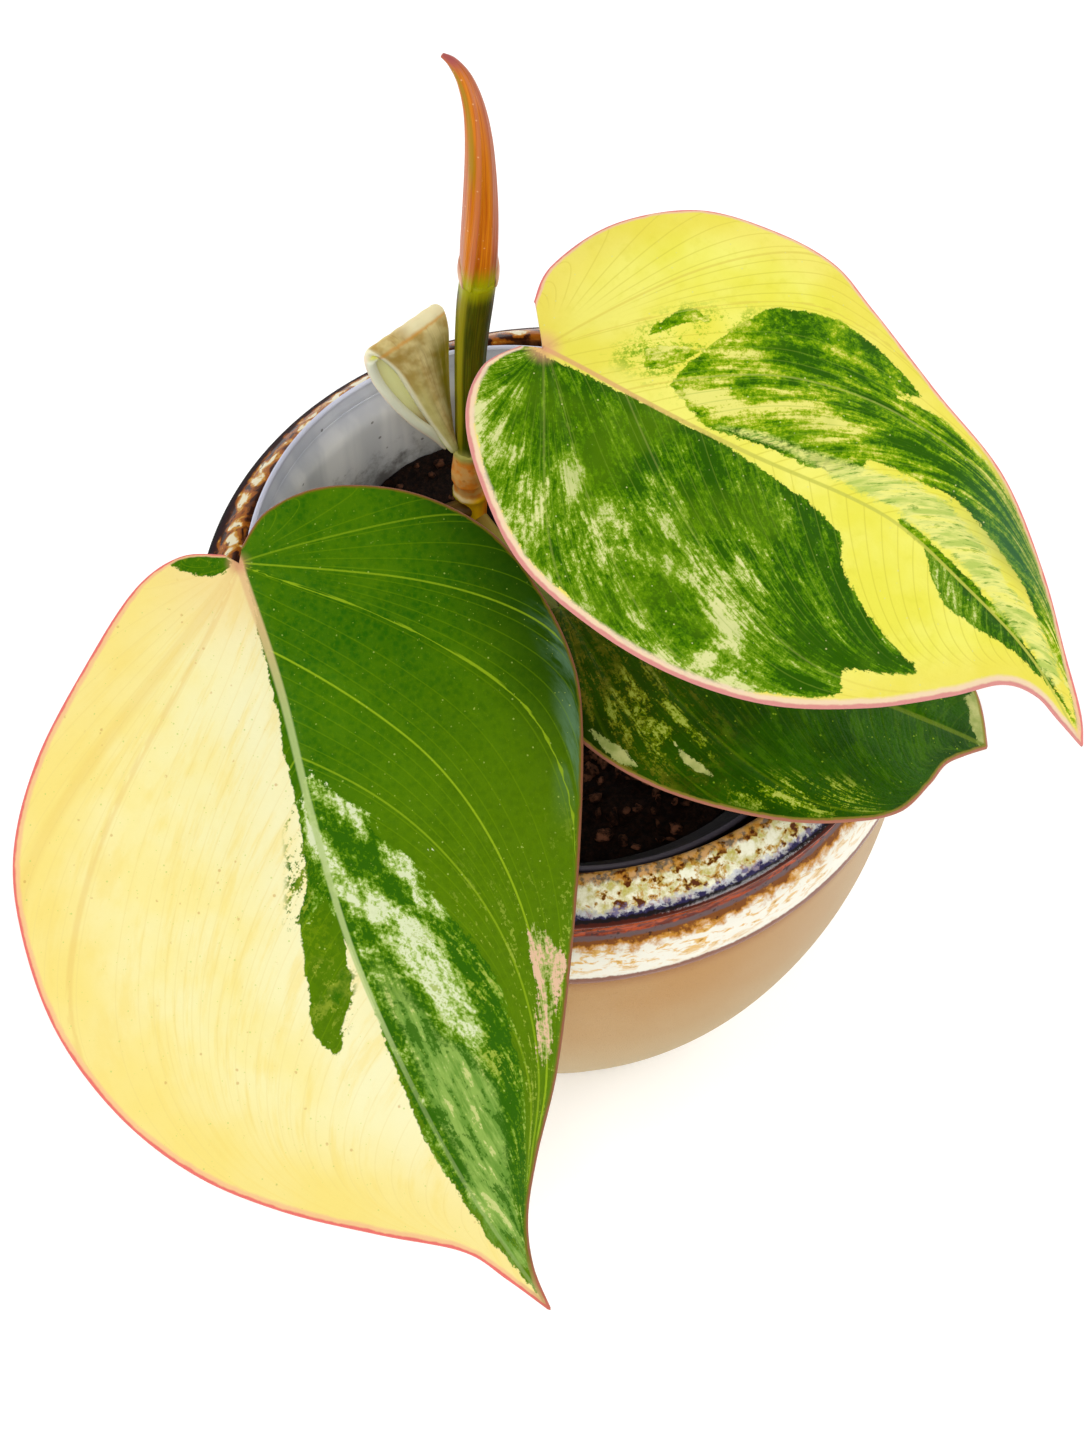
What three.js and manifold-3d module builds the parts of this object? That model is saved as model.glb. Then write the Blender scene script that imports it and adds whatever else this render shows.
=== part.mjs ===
// Potted variegated micans philodendron, in millimetres, +Z up.
// The origin is the centre of the cover pot's flat base. The camera side of the plant is -Y.
import * as THREE from "three";
import { mergeVertices } from "three/addons/utils/BufferGeometryUtils.js";
import Module from "manifold-3d";

const wasm = await Module();
wasm.setup();

// Driving dimensions of the cover pot
const RIDGE_RADIUS = 52; // the dark ridge round the rim
const RIDGE_HEIGHT = 86;
const LIP_RADIUS = 46.7; // crest of the rim's sloping shoulder
const LIP_RISE = 5.1;
const GLAZE_DROP = 14.3; // how far the glaze runs down below the ridge
const BASE_RADIUS = 33;
const WALL = 4.2;
const POT_FLOOR = 6;
const POT_SIDES = 52;

// Driving dimensions of the nursery pot, which leans in the cover pot
const NURSERY_RIM_CENTRE = [-1.85, -2.8, 93.85];
const NURSERY_LEAN = [0.19, -0.07]; // how far its axis runs in X and Y for each mm up
const NURSERY_RIM_RADIUS = 42.7;
const NURSERY_BASE_RADIUS = 26.6;
const NURSERY_HEIGHT = 70.5; // its rim rests on the lip and its base edge on the cover pot's curved wall
const NURSERY_WALL = 1.1;
const NURSERY_FLOOR = 2.1;
const NURSERY_FLANGE = 1.2; // how far the rim stands out from the wall
const FLANGE_DROP = 2.4;
const FLANGE_EDGE = 0.4;
const DRAIN_HOLES = 6;
const DRAIN_RADIUS = 2.5;
const DRAIN_RING_RADIUS = 17;
const DRAIN_SIDES = 12;

// Driving dimensions of the plant
const SOIL_LEVEL = 80.5;
const SOIL_LUMP = 2.2; // height of the soil's lumps
const SOIL_LUMPS = 90;
const SOIL_LUMP_RADIUS = 4; // of the narrowest lump
const SOIL_STEP = 3.2;
const SOIL_REACH = 44;
const STEM_FOOT = 68;
const STEM_HOLE_TOP = 4.2;
const STEM_HOLE_FOOT = 3.4;
const STEM_HOLE_SIDES = 16;
const BLADE_THICKNESS = 0.9;
const SHEATH_THICKNESS = 0.7;
const GAP = 0.3; // clearance kept between neighbouring pieces

// Each blade has its own flat frame: u runs from the petiole's end to the tip, v across to the left of that.
// The frame starts at the sinus, where the petiole meets the blade. Its heading, pitch and roll are in degrees.
// droop is how far the tip hangs below the frame, trough the rise from the midrib, and curl the fall of each edge.
const LEAF_1 = {
  sinus: [-2.3, 7.6, 136], heading: -32, pitch: 8, roll: 10,
  length: 86.5, halfWidth: 30, droop: 16, lobeDroop: 2, trough: 3, curl: 4,
  midrib: [[0, 0], [15, 1], [30, 2.7], [49, 6.4], [62, 5.2], [75, 2.6], [86.5, -2.7]],
  left: [[-4.5, 5], [-5.4, 10.7], [-2, 20.5], [6, 29], [16, 32.5], [25, 33.1], [33, 30.2], [46, 25.2],
    [59, 21], [70, 13.4], [78, 6.2], [84, 0.8]],
  right: [[-2.6, -1.5], [-5, -6.6], [-3.1, -13.5], [3.4, -20.2], [13.7, -26.6], [26, -28.5], [38, -27.6],
    [50, -23.6], [60.5, -16.6], [68.5, -8.8], [73.5, -2.8], [77.9, -1.1], [82, -1.8]],
};
const LEAF_2 = {
  sinus: [-43.3, -10, 112], heading: -64, pitch: 15, roll: 10,
  length: 106, halfWidth: 40, droop: 23, lobeDroop: 2, trough: 3, curl: 4.5,
  midrib: [[0, 0], [18, -2], [36, -5.4], [54, -8], [74, -8.3], [90, -7.1], [106, -4.3]],
  left: [[-1.9, 1.4], [-5, 6.6], [-4.6, 15], [1, 25], [10, 32.2], [20, 34.9], [31, 35], [40, 32.1],
    [54, 25], [68, 16.8], [79, 9.6], [87.5, 2.6], [94, -1.9], [100, -4]],
  right: [[-1.7, -1.2], [-4.1, -6.8], [-2.6, -14], [4, -24], [13, -35.4], [23, -43.3], [34, -46.8], [47, -47.7],
    [60, -44.8], [71, -39], [80, -30.6], [88, -20.3], [94.4, -11.4], [100, -7.7]],
};
const LEAF_3 = {
  sinus: [0.1, -7.5, 98], heading: -17, pitch: 2, roll: 0,
  length: 62, halfWidth: 24, droop: 7, lobeDroop: 1, trough: 1.5, curl: 2,
  midrib: [[0, 0], [20, 0.6], [40, 1.2], [62, 0.6]],
  left: [[-2.2, 2.4], [-3.6, 8], [1, 16.5], [10, 22], [21, 24.4], [33, 23.6], [44, 20], [53, 14.6], [59, 7.6]],
  right: [[-2.2, -2.2], [-3.2, -7.6], [1.6, -14.6], [9, -19.8], [18, -22.7], [28, -23.1], [38.7, -21.5],
    [47, -18.2], [52.8, -14.2], [55.6, -8.6], [57, -4.6], [59.2, -2]],
};
const BLADE_STATIONS = 32; // steps along each margin
const BLADE_STRIPS = 5; // steps from the midrib to the margin
const LOBE_SHARE = 0.2; // share of the margin whose side veins all start at the sinus
const LOBE_LENGTH = 20;
const VEIN_SWEEP = 1.5; // how strongly the side veins lean towards the tip
const TROUGH_ROUNDING = 0.1;

// Routes and radii of the stalks, from foot to end: [x, y, z, radius]. A petiole's last point is on its blade.
const STEM = [
  [-12.9, 18.2, STEM_FOOT, 1.9], [-12.9, 19.4, 80, 2.2], [-12.9, 20.4, 85.6, 2.3], [-12.9, 20.6, 87, 2.75],
  [-12.9, 20.7, 88.4, 2.45], [-13, 20.7, 91.6, 2.7], [-13.1, 20.8, 94, 2.4], [-13.1, 20.8, 96, 2.1],
];
const NEW_STALK = [
  [-13.1, 20.9, 96.5, 1.95], [-12.8, 21.4, 104, 2], [-12.6, 22.6, 112, 2.1], [-12.2, 23.8, 119, 2.3],
  [-11.6, 24, 126, 2.5], [-11, 23.7, 131, 2.55],
];
const PETIOLE_1 = [
  [-10.8, 19.8, 92.4, 1.6], [-8.5, 19, 98.6, 1.5], [-7.1, 16.6, 108, 1.45], [-5.8, 13.4, 120, 1.4],
  [-3.6, 9.2, 131, 1.4],
];
const PETIOLE_2 = [
  [-14.3, 18.8, 84.6, 1.8], [-18, 14.8, 88, 1.6], [-25, 7.4, 94, 1.5], [-33.4, -1.4, 101, 1.45],
  [-39.4, -8, 107, 1.45],
];
const PETIOLE_3 = [
  [-12, 19, 81.8, 1.7], [-9.6, 14.4, 83.6, 1.5], [-6, 6.4, 87.6, 1.4], [-2.6, -1, 92, 1.35],
  [0, -6, 95.4, 1.35],
];
const PETIOLE_INSET = 2.5; // from the sinus to the petiole's end, under the blade
const PETIOLE_END_RADIUS = 1.5;
const STALK_SIDES = 12;
const STALK_STEPS = 16;

// The new leaf is rolled up: its section is a spiral whose outer margin overlaps the turn below
const NEW_LEAF = [
  [-11, 23.6, 131.5, 2.3], [-10.7, 23.2, 138, 2.35], [-10.4, 23.2, 147, 2.15], [-10.4, 23.1, 157, 1.75],
  [-10.9, 24, 163, 1.35], [-12, 25.2, 167, 1], [-13.5, 26.1, 169.3, 0.65], [-14.9, 26.5, 170.3, 0.3],
];
const ROLL_LAP = 0.16; // how far the spiral grows in one turn, as a share of the radius
const ROLL_SIDES = 20;
const ROLL_STEPS = 26;
const ROLL_TWIST = 1.2;
const SEAM_ANGLE = -1.9;

// The cataphyll is a sheath folded over to one side: two open rims, each from its front foot over the fold to the back
const SHEATH_LEFT_RIM = [
  [-15.3, 19, 98.2], [-17, 19.9, 101.5], [-19.2, 20.6, 105.7], [-21, 21.4, 109.2], [-23, 22.3, 112.8],
  [-25.8, 22.8, 115.8], [-27.4, 23.8, 114.6], [-26.6, 23.4, 110.6], [-24.5, 22.1, 107], [-21.6, 21, 103.2],
  [-18.2, 20.6, 99.4], [-16.4, 20.4, 97.2],
];
const SHEATH_RIGHT_RIM = [
  [-15.6, 20.6, 98.6], [-15.5, 22.2, 103], [-15.6, 23.8, 108], [-15.6, 25, 113], [-15.5, 25.8, 118],
  [-16.2, 26.7, 121.2], [-17.6, 27.6, 120.4], [-17.8, 27.2, 115], [-17.6, 26, 110], [-17.2, 24.8, 105],
  [-16.8, 23.2, 100.6], [-16.4, 21.8, 97.4],
];
const SHEATH_STEPS = 30;
const SHEATH_STRIPS = 6;

// Colours
const CLAY = 0xc9a479;
const PLASTIC = 0x9a9ca3;
const EARTH = 0x241712;
const TAN = 0xc98f3a;
const STALK_GREEN = 0x6c7a1c;
const PALE_STALK = 0xc9c88a;
const PAPER_CREAM = 0xe4ddac;
const BRONZE = 0xb4682f;
const YELLOW_LEAF = 0xc9cf4e;
const CREAM_LEAF = 0xd8d488;
const GREEN_LEAF = 0x2f5a17;

const plant = new THREE.Group();

function addPiece(name, geometry, colour, roughness) {
  const material = new THREE.MeshStandardMaterial({ color: colour, roughness, metalness: 0 });
  const mesh = new THREE.Mesh(geometry, material);
  mesh.name = name;
  plant.add(mesh);
  return mesh;
}

// Solids and geometries

function geometryOfTriangles(points, triangles) {
  const geometry = new THREE.BufferGeometry();
  const flat = points.flatMap((point) => [point.x, point.y, point.z]);
  geometry.setAttribute("position", new THREE.Float32BufferAttribute(flat, 3));
  geometry.setIndex(triangles.flat());
  geometry.computeVertexNormals();
  return geometry;
}

function solidOf(geometry) {
  const bare = geometry.clone();
  bare.deleteAttribute("normal");
  bare.deleteAttribute("uv");
  const merged = mergeVertices(bare, 1e-4);
  const vertProperties = merged.attributes.position.array;
  const triVerts = new Uint32Array(merged.index.array);
  return new wasm.Manifold(new wasm.Mesh({ numProp: 3, vertProperties, triVerts }));
}

function geometryOfSolid(solid) {
  const mesh = solid.getMesh();
  const geometry = new THREE.BufferGeometry();
  geometry.setAttribute("position", new THREE.BufferAttribute(new Float32Array(mesh.vertProperties), 3));
  geometry.setIndex(new THREE.BufferAttribute(new Uint32Array(mesh.triVerts), 1));
  geometry.computeVertexNormals();
  return geometry;
}

// Curves through a short list of points of any dimension

function curveThrough(points, share) {
  const last = points.length - 1;
  const place = Math.min(Math.max(share, 0), 1) * last;
  const start = Math.min(Math.floor(place), last - 1);
  const t = place - start;
  const before = points[Math.max(start - 1, 0)];
  const from = points[start];
  const to = points[start + 1];
  const after = points[Math.min(start + 2, last)];
  return from.map((value, axis) => {
    const slopeIn = (to[axis] - before[axis]) / 2;
    const slopeOut = (after[axis] - value) / 2;
    const bend = 2 * value - 2 * to[axis] + slopeIn + slopeOut;
    const pull = -3 * value + 3 * to[axis] - 2 * slopeIn - slopeOut;
    return ((bend * t + pull) * t + slopeIn) * t + value;
  });
}

function heightAt(points, u) {
  const reach = points[points.length - 1][0];
  const wanted = Math.min(Math.max(u, 0), reach);
  const next = points.findIndex((point) => point[0] >= wanted);
  if (next <= 0) return points[0][1];
  const [u0, v0] = points[next - 1];
  const [u1, v1] = points[next];
  const before = points[Math.max(next - 2, 0)];
  const after = points[Math.min(next + 1, points.length - 1)];
  const slopeIn = ((v1 - before[1]) / (u1 - before[0])) * (u1 - u0);
  const slopeOut = ((after[1] - v0) / (after[0] - u0)) * (u1 - u0);
  const t = (wanted - u0) / (u1 - u0);
  const bend = 2 * v0 - 2 * v1 + slopeIn + slopeOut;
  const pull = -3 * v0 + 3 * v1 - 2 * slopeIn - slopeOut;
  return ((bend * t + pull) * t + slopeIn) * t + v0;
}

// The cover pot: one turned profile, from the centre of the base up the outside and down the inside

function potOutside() {
  const glazeEdge = RIDGE_HEIGHT - GLAZE_DROP;
  return [
    [0, 0], [BASE_RADIUS - 1.6, 0], [BASE_RADIUS - 0.4, 0.5], [BASE_RADIUS + 0.3, 1.8],
    [36.2, 8], [39.1, 14.3], [42.5, 21.5], [45.4, 28.6], [47.8, 36], [49.6, 43], [50.9, 50],
    [51.7, 57], [52.2, 64], [52.4, glazeEdge - 0.5], [52.8, glazeEdge + 0.1], [52.75, glazeEdge + 3],
    [52.2, RIDGE_HEIGHT - 8.6], [51.2, RIDGE_HEIGHT - 6.6], [50.6, RIDGE_HEIGHT - 4.6],
    [50.7, RIDGE_HEIGHT - 2.6], [51.4, RIDGE_HEIGHT - 1], [RIDGE_RADIUS, RIDGE_HEIGHT],
    [51.8, RIDGE_HEIGHT + 0.7], [50.6, RIDGE_HEIGHT + 2], [48.6, RIDGE_HEIGHT + 4],
    [LIP_RADIUS + 0.6, RIDGE_HEIGHT + LIP_RISE - 0.2], [LIP_RADIUS, RIDGE_HEIGHT + LIP_RISE],
  ];
}

function potInside() {
  return [
    [46.2, RIDGE_HEIGHT + LIP_RISE - 0.2], [45.9, RIDGE_HEIGHT + LIP_RISE - 0.9], [46.2, RIDGE_HEIGHT],
    [47.2, 78], [47.8, 64], [51.7 - WALL, 57], [49.6 - WALL, 43], [45.4 - WALL, 28.6],
    [39.1 - WALL, 14.3], [30, POT_FLOOR + 2.4], [25, POT_FLOOR + 0.4], [0, POT_FLOOR],
  ];
}

function turned(profile, sides) {
  const points = profile.map(([r, z]) => new THREE.Vector2(r, z));
  return new THREE.LatheGeometry(points, sides).rotateX(Math.PI / 2);
}

// The nursery pot, turned on its own axis with its rim at zero, then leant into place

function leanIntoPlace(geometry) {
  const axis = new THREE.Vector3(...NURSERY_LEAN, 1).normalize();
  const turn = new THREE.Quaternion().setFromUnitVectors(new THREE.Vector3(0, 0, 1), axis);
  return geometry.applyQuaternion(turn).translate(...NURSERY_RIM_CENTRE);
}

function nurseryWallRadius(depth) {
  const top = NURSERY_RIM_RADIUS - NURSERY_FLANGE;
  return top - ((top - NURSERY_BASE_RADIUS) * depth) / NURSERY_HEIGHT;
}

function nurseryShell() {
  const floor = NURSERY_FLOOR - NURSERY_HEIGHT;
  const insideRim = nurseryWallRadius(0) - NURSERY_WALL;
  return turned([
    [0, -NURSERY_HEIGHT], [NURSERY_BASE_RADIUS, -NURSERY_HEIGHT],
    [nurseryWallRadius(FLANGE_DROP), -FLANGE_DROP], [NURSERY_RIM_RADIUS, FLANGE_EDGE / 2 - FLANGE_DROP],
    [NURSERY_RIM_RADIUS, -FLANGE_EDGE], [NURSERY_RIM_RADIUS - FLANGE_EDGE, 0], [insideRim + FLANGE_EDGE, 0],
    [insideRim, -FLANGE_EDGE], [nurseryWallRadius(-floor) - NURSERY_WALL, floor], [0, floor],
  ], POT_SIDES);
}

function nurseryGeometry() {
  let shell = solidOf(nurseryShell());
  for (let i = 0; i < DRAIN_HOLES; i++) {
    const angle = (i / DRAIN_HOLES) * 2 * Math.PI;
    const length = NURSERY_FLOOR * 4;
    const hole = new THREE.CylinderGeometry(DRAIN_RADIUS, DRAIN_RADIUS, length, DRAIN_SIDES);
    hole.rotateX(Math.PI / 2);
    hole.translate(Math.cos(angle) * DRAIN_RING_RADIUS, Math.sin(angle) * DRAIN_RING_RADIUS, -NURSERY_HEIGHT);
    shell = shell.subtract(solidOf(hole));
  }
  return leanIntoPlace(geometryOfSolid(shell));
}

// The soil: what the leaning nursery pot holds, under a level lumpy surface with a plain hole for the stem

function seededRandom(seed) {
  let state = seed;
  return () => {
    state = (state * 1664525 + 1013904223) % 4294967296;
    return state / 4294967296;
  };
}

function soilLumps() {
  const random = seededRandom(7);
  return Array.from({ length: SOIL_LUMPS }, () => ({
    x: (random() * 2 - 1) * SOIL_REACH,
    y: (random() * 2 - 1) * SOIL_REACH,
    radius: SOIL_LUMP_RADIUS * (1 + 1.5 * random()),
    height: SOIL_LUMP * (0.35 + 0.65 * random()),
  }));
}

function soilHeight(lumps, x, y) {
  const heights = lumps.map((lump) => {
    const away = Math.hypot(x - lump.x, y - lump.y) / lump.radius;
    return lump.height * Math.max(0, 1 - away * away);
  });
  return SOIL_LEVEL - SOIL_LUMP / 2 + Math.max(...heights);
}

function soilBlock() {
  const lumps = soilLumps();
  const side = 2 * SOIL_REACH;
  const count = Math.round(side / SOIL_STEP);
  const block = new THREE.BoxGeometry(side, side, NURSERY_HEIGHT, count, count, 1);
  block.translate(0, 0, SOIL_LEVEL - NURSERY_HEIGHT / 2);
  const place = block.attributes.position;
  for (let i = 0; i < place.count; i++) {
    if (place.getZ(i) > SOIL_LEVEL - 1) place.setZ(i, soilHeight(lumps, place.getX(i), place.getY(i)));
  }
  return solidOf(block);
}

function nurseryHollow() {
  const inside = NURSERY_WALL + GAP;
  const floor = NURSERY_FLOOR - NURSERY_HEIGHT + GAP;
  return leanIntoPlace(turned([
    [0, floor], [nurseryWallRadius(-floor) - inside, floor], [nurseryWallRadius(0) - inside, 0], [0, 0],
  ], POT_SIDES));
}

function stemHole() {
  const depth = SOIL_LEVEL - STEM_FOOT + 3 * SOIL_LUMP;
  const hole = new THREE.CylinderGeometry(STEM_HOLE_TOP, STEM_HOLE_FOOT, depth, STEM_HOLE_SIDES);
  const [x, y, foot] = STEM[0];
  hole.rotateX(Math.PI / 2).translate(x, y + 2 * GAP, foot - 2 * GAP + depth / 2);
  return solidOf(hole);
}

function soilGeometry() {
  const soil = soilBlock().intersect(solidOf(nurseryHollow())).subtract(stemHole());
  return geometryOfSolid(soil);
}

// Stalks: round sections swept along a smooth route, with a radius for each point of it

function sweptBody(route, steps, sides, sectionRadius) {
  const frames = Array.from({ length: steps + 1 }, (_, i) => {
    const [x, y, z, radius] = curveThrough(route, i / steps);
    return { centre: new THREE.Vector3(x, y, z), radius };
  });
  const points = [];
  frames.forEach((frame, i) => {
    const ahead = frames[Math.min(i + 1, steps)].centre;
    const behind = frames[Math.max(i - 1, 0)].centre;
    const along = ahead.clone().sub(behind).normalize();
    const side = new THREE.Vector3(1, 0, 0).addScaledVector(along, -along.x).normalize();
    const front = along.clone().cross(side);
    for (let j = 0; j < sides; j++) {
      const radius = frame.radius * sectionRadius(j / sides);
      const angle = (j / sides) * 2 * Math.PI + SEAM_ANGLE + (ROLL_TWIST * i) / steps;
      const arm = side.clone().multiplyScalar(Math.cos(angle)).addScaledVector(front, Math.sin(angle));
      points.push(frame.centre.clone().addScaledVector(arm, radius));
    }
  });
  points.push(frames[0].centre, frames[steps].centre);
  return geometryOfTriangles(points, sweptTriangles(steps, sides));
}

function sweptTriangles(steps, sides) {
  const triangles = [];
  const foot = (steps + 1) * sides;
  const end = foot + 1;
  for (let j = 0; j < sides; j++) {
    const next = (j + 1) % sides;
    for (let i = 0; i < steps; i++) {
      const low = i * sides;
      const high = low + sides;
      triangles.push([low + j, low + next, high + next], [low + j, high + next, high + j]);
    }
    triangles.push([foot, next, j], [end, steps * sides + j, steps * sides + next]);
  }
  return triangles;
}

function stalk(route) {
  return sweptBody(route, STALK_STEPS, STALK_SIDES, () => 1);
}

function rolledLeaf() {
  return sweptBody(NEW_LEAF, ROLL_STEPS, ROLL_SIDES, (turn) => 1 + ROLL_LAP * turn);
}

// Blades

function bladeFrame(leaf) {
  const [heading, pitch, roll] = [leaf.heading, leaf.pitch, leaf.roll].map(THREE.MathUtils.degToRad);
  const level = Math.cos(pitch);
  const u = new THREE.Vector3(Math.cos(heading) * level, Math.sin(heading) * level, -Math.sin(pitch));
  const v = new THREE.Vector3(-Math.sin(heading), Math.cos(heading), 0);
  v.applyAxisAngle(u, roll);
  return { u, v, w: u.clone().cross(v) };
}

function bladeHeight(leaf, u, v) {
  const forward = Math.max(u, 0) / leaf.length;
  const back = Math.max(-u, 0) / LOBE_LENGTH;
  const out = (v - heightAt(leaf.midrib, u)) / leaf.halfWidth;
  const trough = leaf.trough * (Math.hypot(out, TROUGH_ROUNDING) - TROUGH_ROUNDING);
  return trough - leaf.droop * forward * forward - leaf.lobeDroop * back * back - leaf.curl * out * out;
}

function bladePoint(leaf, frame, u, v, lift) {
  return new THREE.Vector3(...leaf.sinus)
    .addScaledVector(frame.u, u)
    .addScaledVector(frame.v, v)
    .addScaledVector(frame.w, bladeHeight(leaf, u, v) + lift);
}

function veinFoot(leaf, share) {
  const forward = Math.max(share - LOBE_SHARE, 0) / (1 - LOBE_SHARE);
  const u = leaf.length * Math.pow(forward, VEIN_SWEEP);
  return [u, heightAt(leaf.midrib, u)];
}

// Rows of [u, v] along each side vein, from the midrib out to the margin
function bladeRows(leaf, side) {
  const tip = [leaf.length, heightAt(leaf.midrib, leaf.length)];
  const margin = [...leaf[side], tip];
  return Array.from({ length: BLADE_STATIONS + 1 }, (_, i) => {
    const foot = veinFoot(leaf, i / BLADE_STATIONS);
    const edge = curveThrough(margin, i / BLADE_STATIONS);
    return Array.from({ length: BLADE_STRIPS + 1 }, (_, k) => {
      const share = k / BLADE_STRIPS;
      return [foot[0] + (edge[0] - foot[0]) * share, foot[1] + (edge[1] - foot[1]) * share];
    });
  });
}

function bladeGeometry(leaf, thickness = BLADE_THICKNESS) {
  const frame = bladeFrame(leaf);
  const points = [];
  const places = new Map();
  const triangles = [];

  // Each place on the blade has an upper point and, right after it, a lower one
  function upper([u, v]) {
    const key = u.toFixed(4) + "," + v.toFixed(4);
    if (!places.has(key)) {
      places.set(key, points.length);
      points.push(bladePoint(leaf, frame, u, v, thickness / 2), bladePoint(leaf, frame, u, v, -thickness / 2));
    }
    return places.get(key);
  }

  function addTriangle(a, b, c) {
    if (a !== b && b !== c && c !== a) triangles.push([a, b, c]);
  }

  function addBothFaces(a, b, c, flipped) {
    const [second, third] = flipped ? [c, b] : [b, c];
    addTriangle(a, second, third);
    addTriangle(a + 1, third + 1, second + 1);
  }

  function addWall(a, b, flipped) {
    const [from, to] = flipped ? [b, a] : [a, b];
    if (from === to) return;
    addTriangle(from, from + 1, to + 1);
    addTriangle(from, to + 1, to);
  }

  for (const side of ["left", "right"]) {
    const flipped = side === "right";
    const rows = bladeRows(leaf, side).map((row) => row.map(upper));
    for (let i = 0; i < BLADE_STATIONS; i++) {
      for (let k = 0; k < BLADE_STRIPS; k++) {
        addBothFaces(rows[i][k], rows[i + 1][k], rows[i + 1][k + 1], flipped);
        addBothFaces(rows[i][k], rows[i + 1][k + 1], rows[i][k + 1], flipped);
      }
      addWall(rows[i + 1][BLADE_STRIPS], rows[i][BLADE_STRIPS], flipped);
    }
    for (let k = 0; k < BLADE_STRIPS; k++) addWall(rows[0][k + 1], rows[0][k], flipped);
  }
  return geometryOfTriangles(points, triangles);
}

// The same route with room left round it and past both ends
function grownRoute(route) {
  const grown = route.map(([x, y, z, radius]) => [x, y, z, radius + GAP]);
  grown[0][2] -= GAP;
  grown[grown.length - 1][2] += GAP;
  return grown;
}

// A petiole ends just under its blade and starts just clear of the stem
function petioleGeometry(route, leaf, neighbours) {
  const clearance = 2 * GAP;
  const end = bladePoint(leaf, bladeFrame(leaf), PETIOLE_INSET, 0, 0);
  const whole = stalk([...route, [...end.toArray(), PETIOLE_END_RADIUS]]);
  let petiole = solidOf(whole).subtract(solidOf(bladeGeometry(leaf, BLADE_THICKNESS + clearance)));
  for (const neighbour of neighbours) {
    petiole = petiole.subtract(solidOf(stalk(grownRoute(neighbour))));
  }
  const bodies = petiole.decompose();
  const largest = bodies.reduce((best, body) => (body.volume() > best.volume() ? body : best));
  return geometryOfSolid(largest);
}

// The cataphyll: a thin sheet lofted between its two rims

function sheathPoint(round, across) {
  const left = curveThrough(SHEATH_LEFT_RIM, round);
  const right = curveThrough(SHEATH_RIGHT_RIM, round);
  return new THREE.Vector3(...left).lerp(new THREE.Vector3(...right), across);
}

function sheathNormal(round, across) {
  const step = 0.01;
  const along = sheathPoint(round + step, across).sub(sheathPoint(round - step, across));
  const over = sheathPoint(round, 1).sub(sheathPoint(round, 0));
  return along.cross(over).normalize();
}

function sheathGeometry() {
  const points = [];
  for (let i = 0; i <= SHEATH_STEPS; i++) {
    for (let k = 0; k <= SHEATH_STRIPS; k++) {
      const [round, across] = [i / SHEATH_STEPS, k / SHEATH_STRIPS];
      const offset = sheathNormal(round, across).multiplyScalar(SHEATH_THICKNESS / 2);
      const middle = sheathPoint(round, across);
      points.push(middle.clone().add(offset), middle.clone().sub(offset));
    }
  }
  return geometryOfTriangles(points, sheathTriangles());
}

function sheathTriangles() {
  const triangles = [];
  const outer = (i, k) => 2 * (i * (SHEATH_STRIPS + 1) + k);
  const addQuad = (a, b, c, d) => triangles.push([a, b, c], [a, c, d]);
  for (let i = 0; i < SHEATH_STEPS; i++) {
    for (let k = 0; k < SHEATH_STRIPS; k++) {
      const [a, b, c, d] = [outer(i, k), outer(i + 1, k), outer(i + 1, k + 1), outer(i, k + 1)];
      triangles.push([a, b, c], [a, c, d], [a + 1, c + 1, b + 1], [a + 1, d + 1, c + 1]);
    }
    addQuad(outer(i + 1, 0), outer(i, 0), outer(i, 0) + 1, outer(i + 1, 0) + 1);
    const edge = SHEATH_STRIPS;
    addQuad(outer(i, edge), outer(i + 1, edge), outer(i + 1, edge) + 1, outer(i, edge) + 1);
  }
  for (let k = 0; k < SHEATH_STRIPS; k++) {
    addQuad(outer(0, k), outer(0, k + 1), outer(0, k + 1) + 1, outer(0, k) + 1);
    const last = SHEATH_STEPS;
    addQuad(outer(last, k + 1), outer(last, k), outer(last, k) + 1, outer(last, k + 1) + 1);
  }
  return triangles;
}

addPiece("pot", turned([...potOutside(), ...potInside()], POT_SIDES), CLAY, 0.6);
addPiece("nursery_pot", nurseryGeometry(), PLASTIC, 0.35);
addPiece("soil", soilGeometry(), EARTH, 0.95);
addPiece("stem", stalk(STEM), TAN, 0.5);
addPiece("petiole_1", petioleGeometry(PETIOLE_1, LEAF_1, [STEM, NEW_STALK]), PALE_STALK, 0.5);
addPiece("petiole_2", petioleGeometry(PETIOLE_2, LEAF_2, [STEM]), STALK_GREEN, 0.5);
addPiece("petiole_3", petioleGeometry(PETIOLE_3, LEAF_3, [STEM, PETIOLE_2]), PALE_STALK, 0.5);
addPiece("leaf_1", bladeGeometry(LEAF_1), YELLOW_LEAF, 0.45);
addPiece("leaf_2", bladeGeometry(LEAF_2), CREAM_LEAF, 0.45);
addPiece("leaf_3", bladeGeometry(LEAF_3), GREEN_LEAF, 0.45);
addPiece("cataphyll", sheathGeometry(), PAPER_CREAM, 0.55);
addPiece("new_leaf_stalk", stalk(NEW_STALK), STALK_GREEN, 0.5);
addPiece("new_leaf", rolledLeaf(), BRONZE, 0.45);

export default plant;
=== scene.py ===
import math

import bmesh
import bpy
import numpy as np
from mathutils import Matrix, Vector, noise


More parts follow.
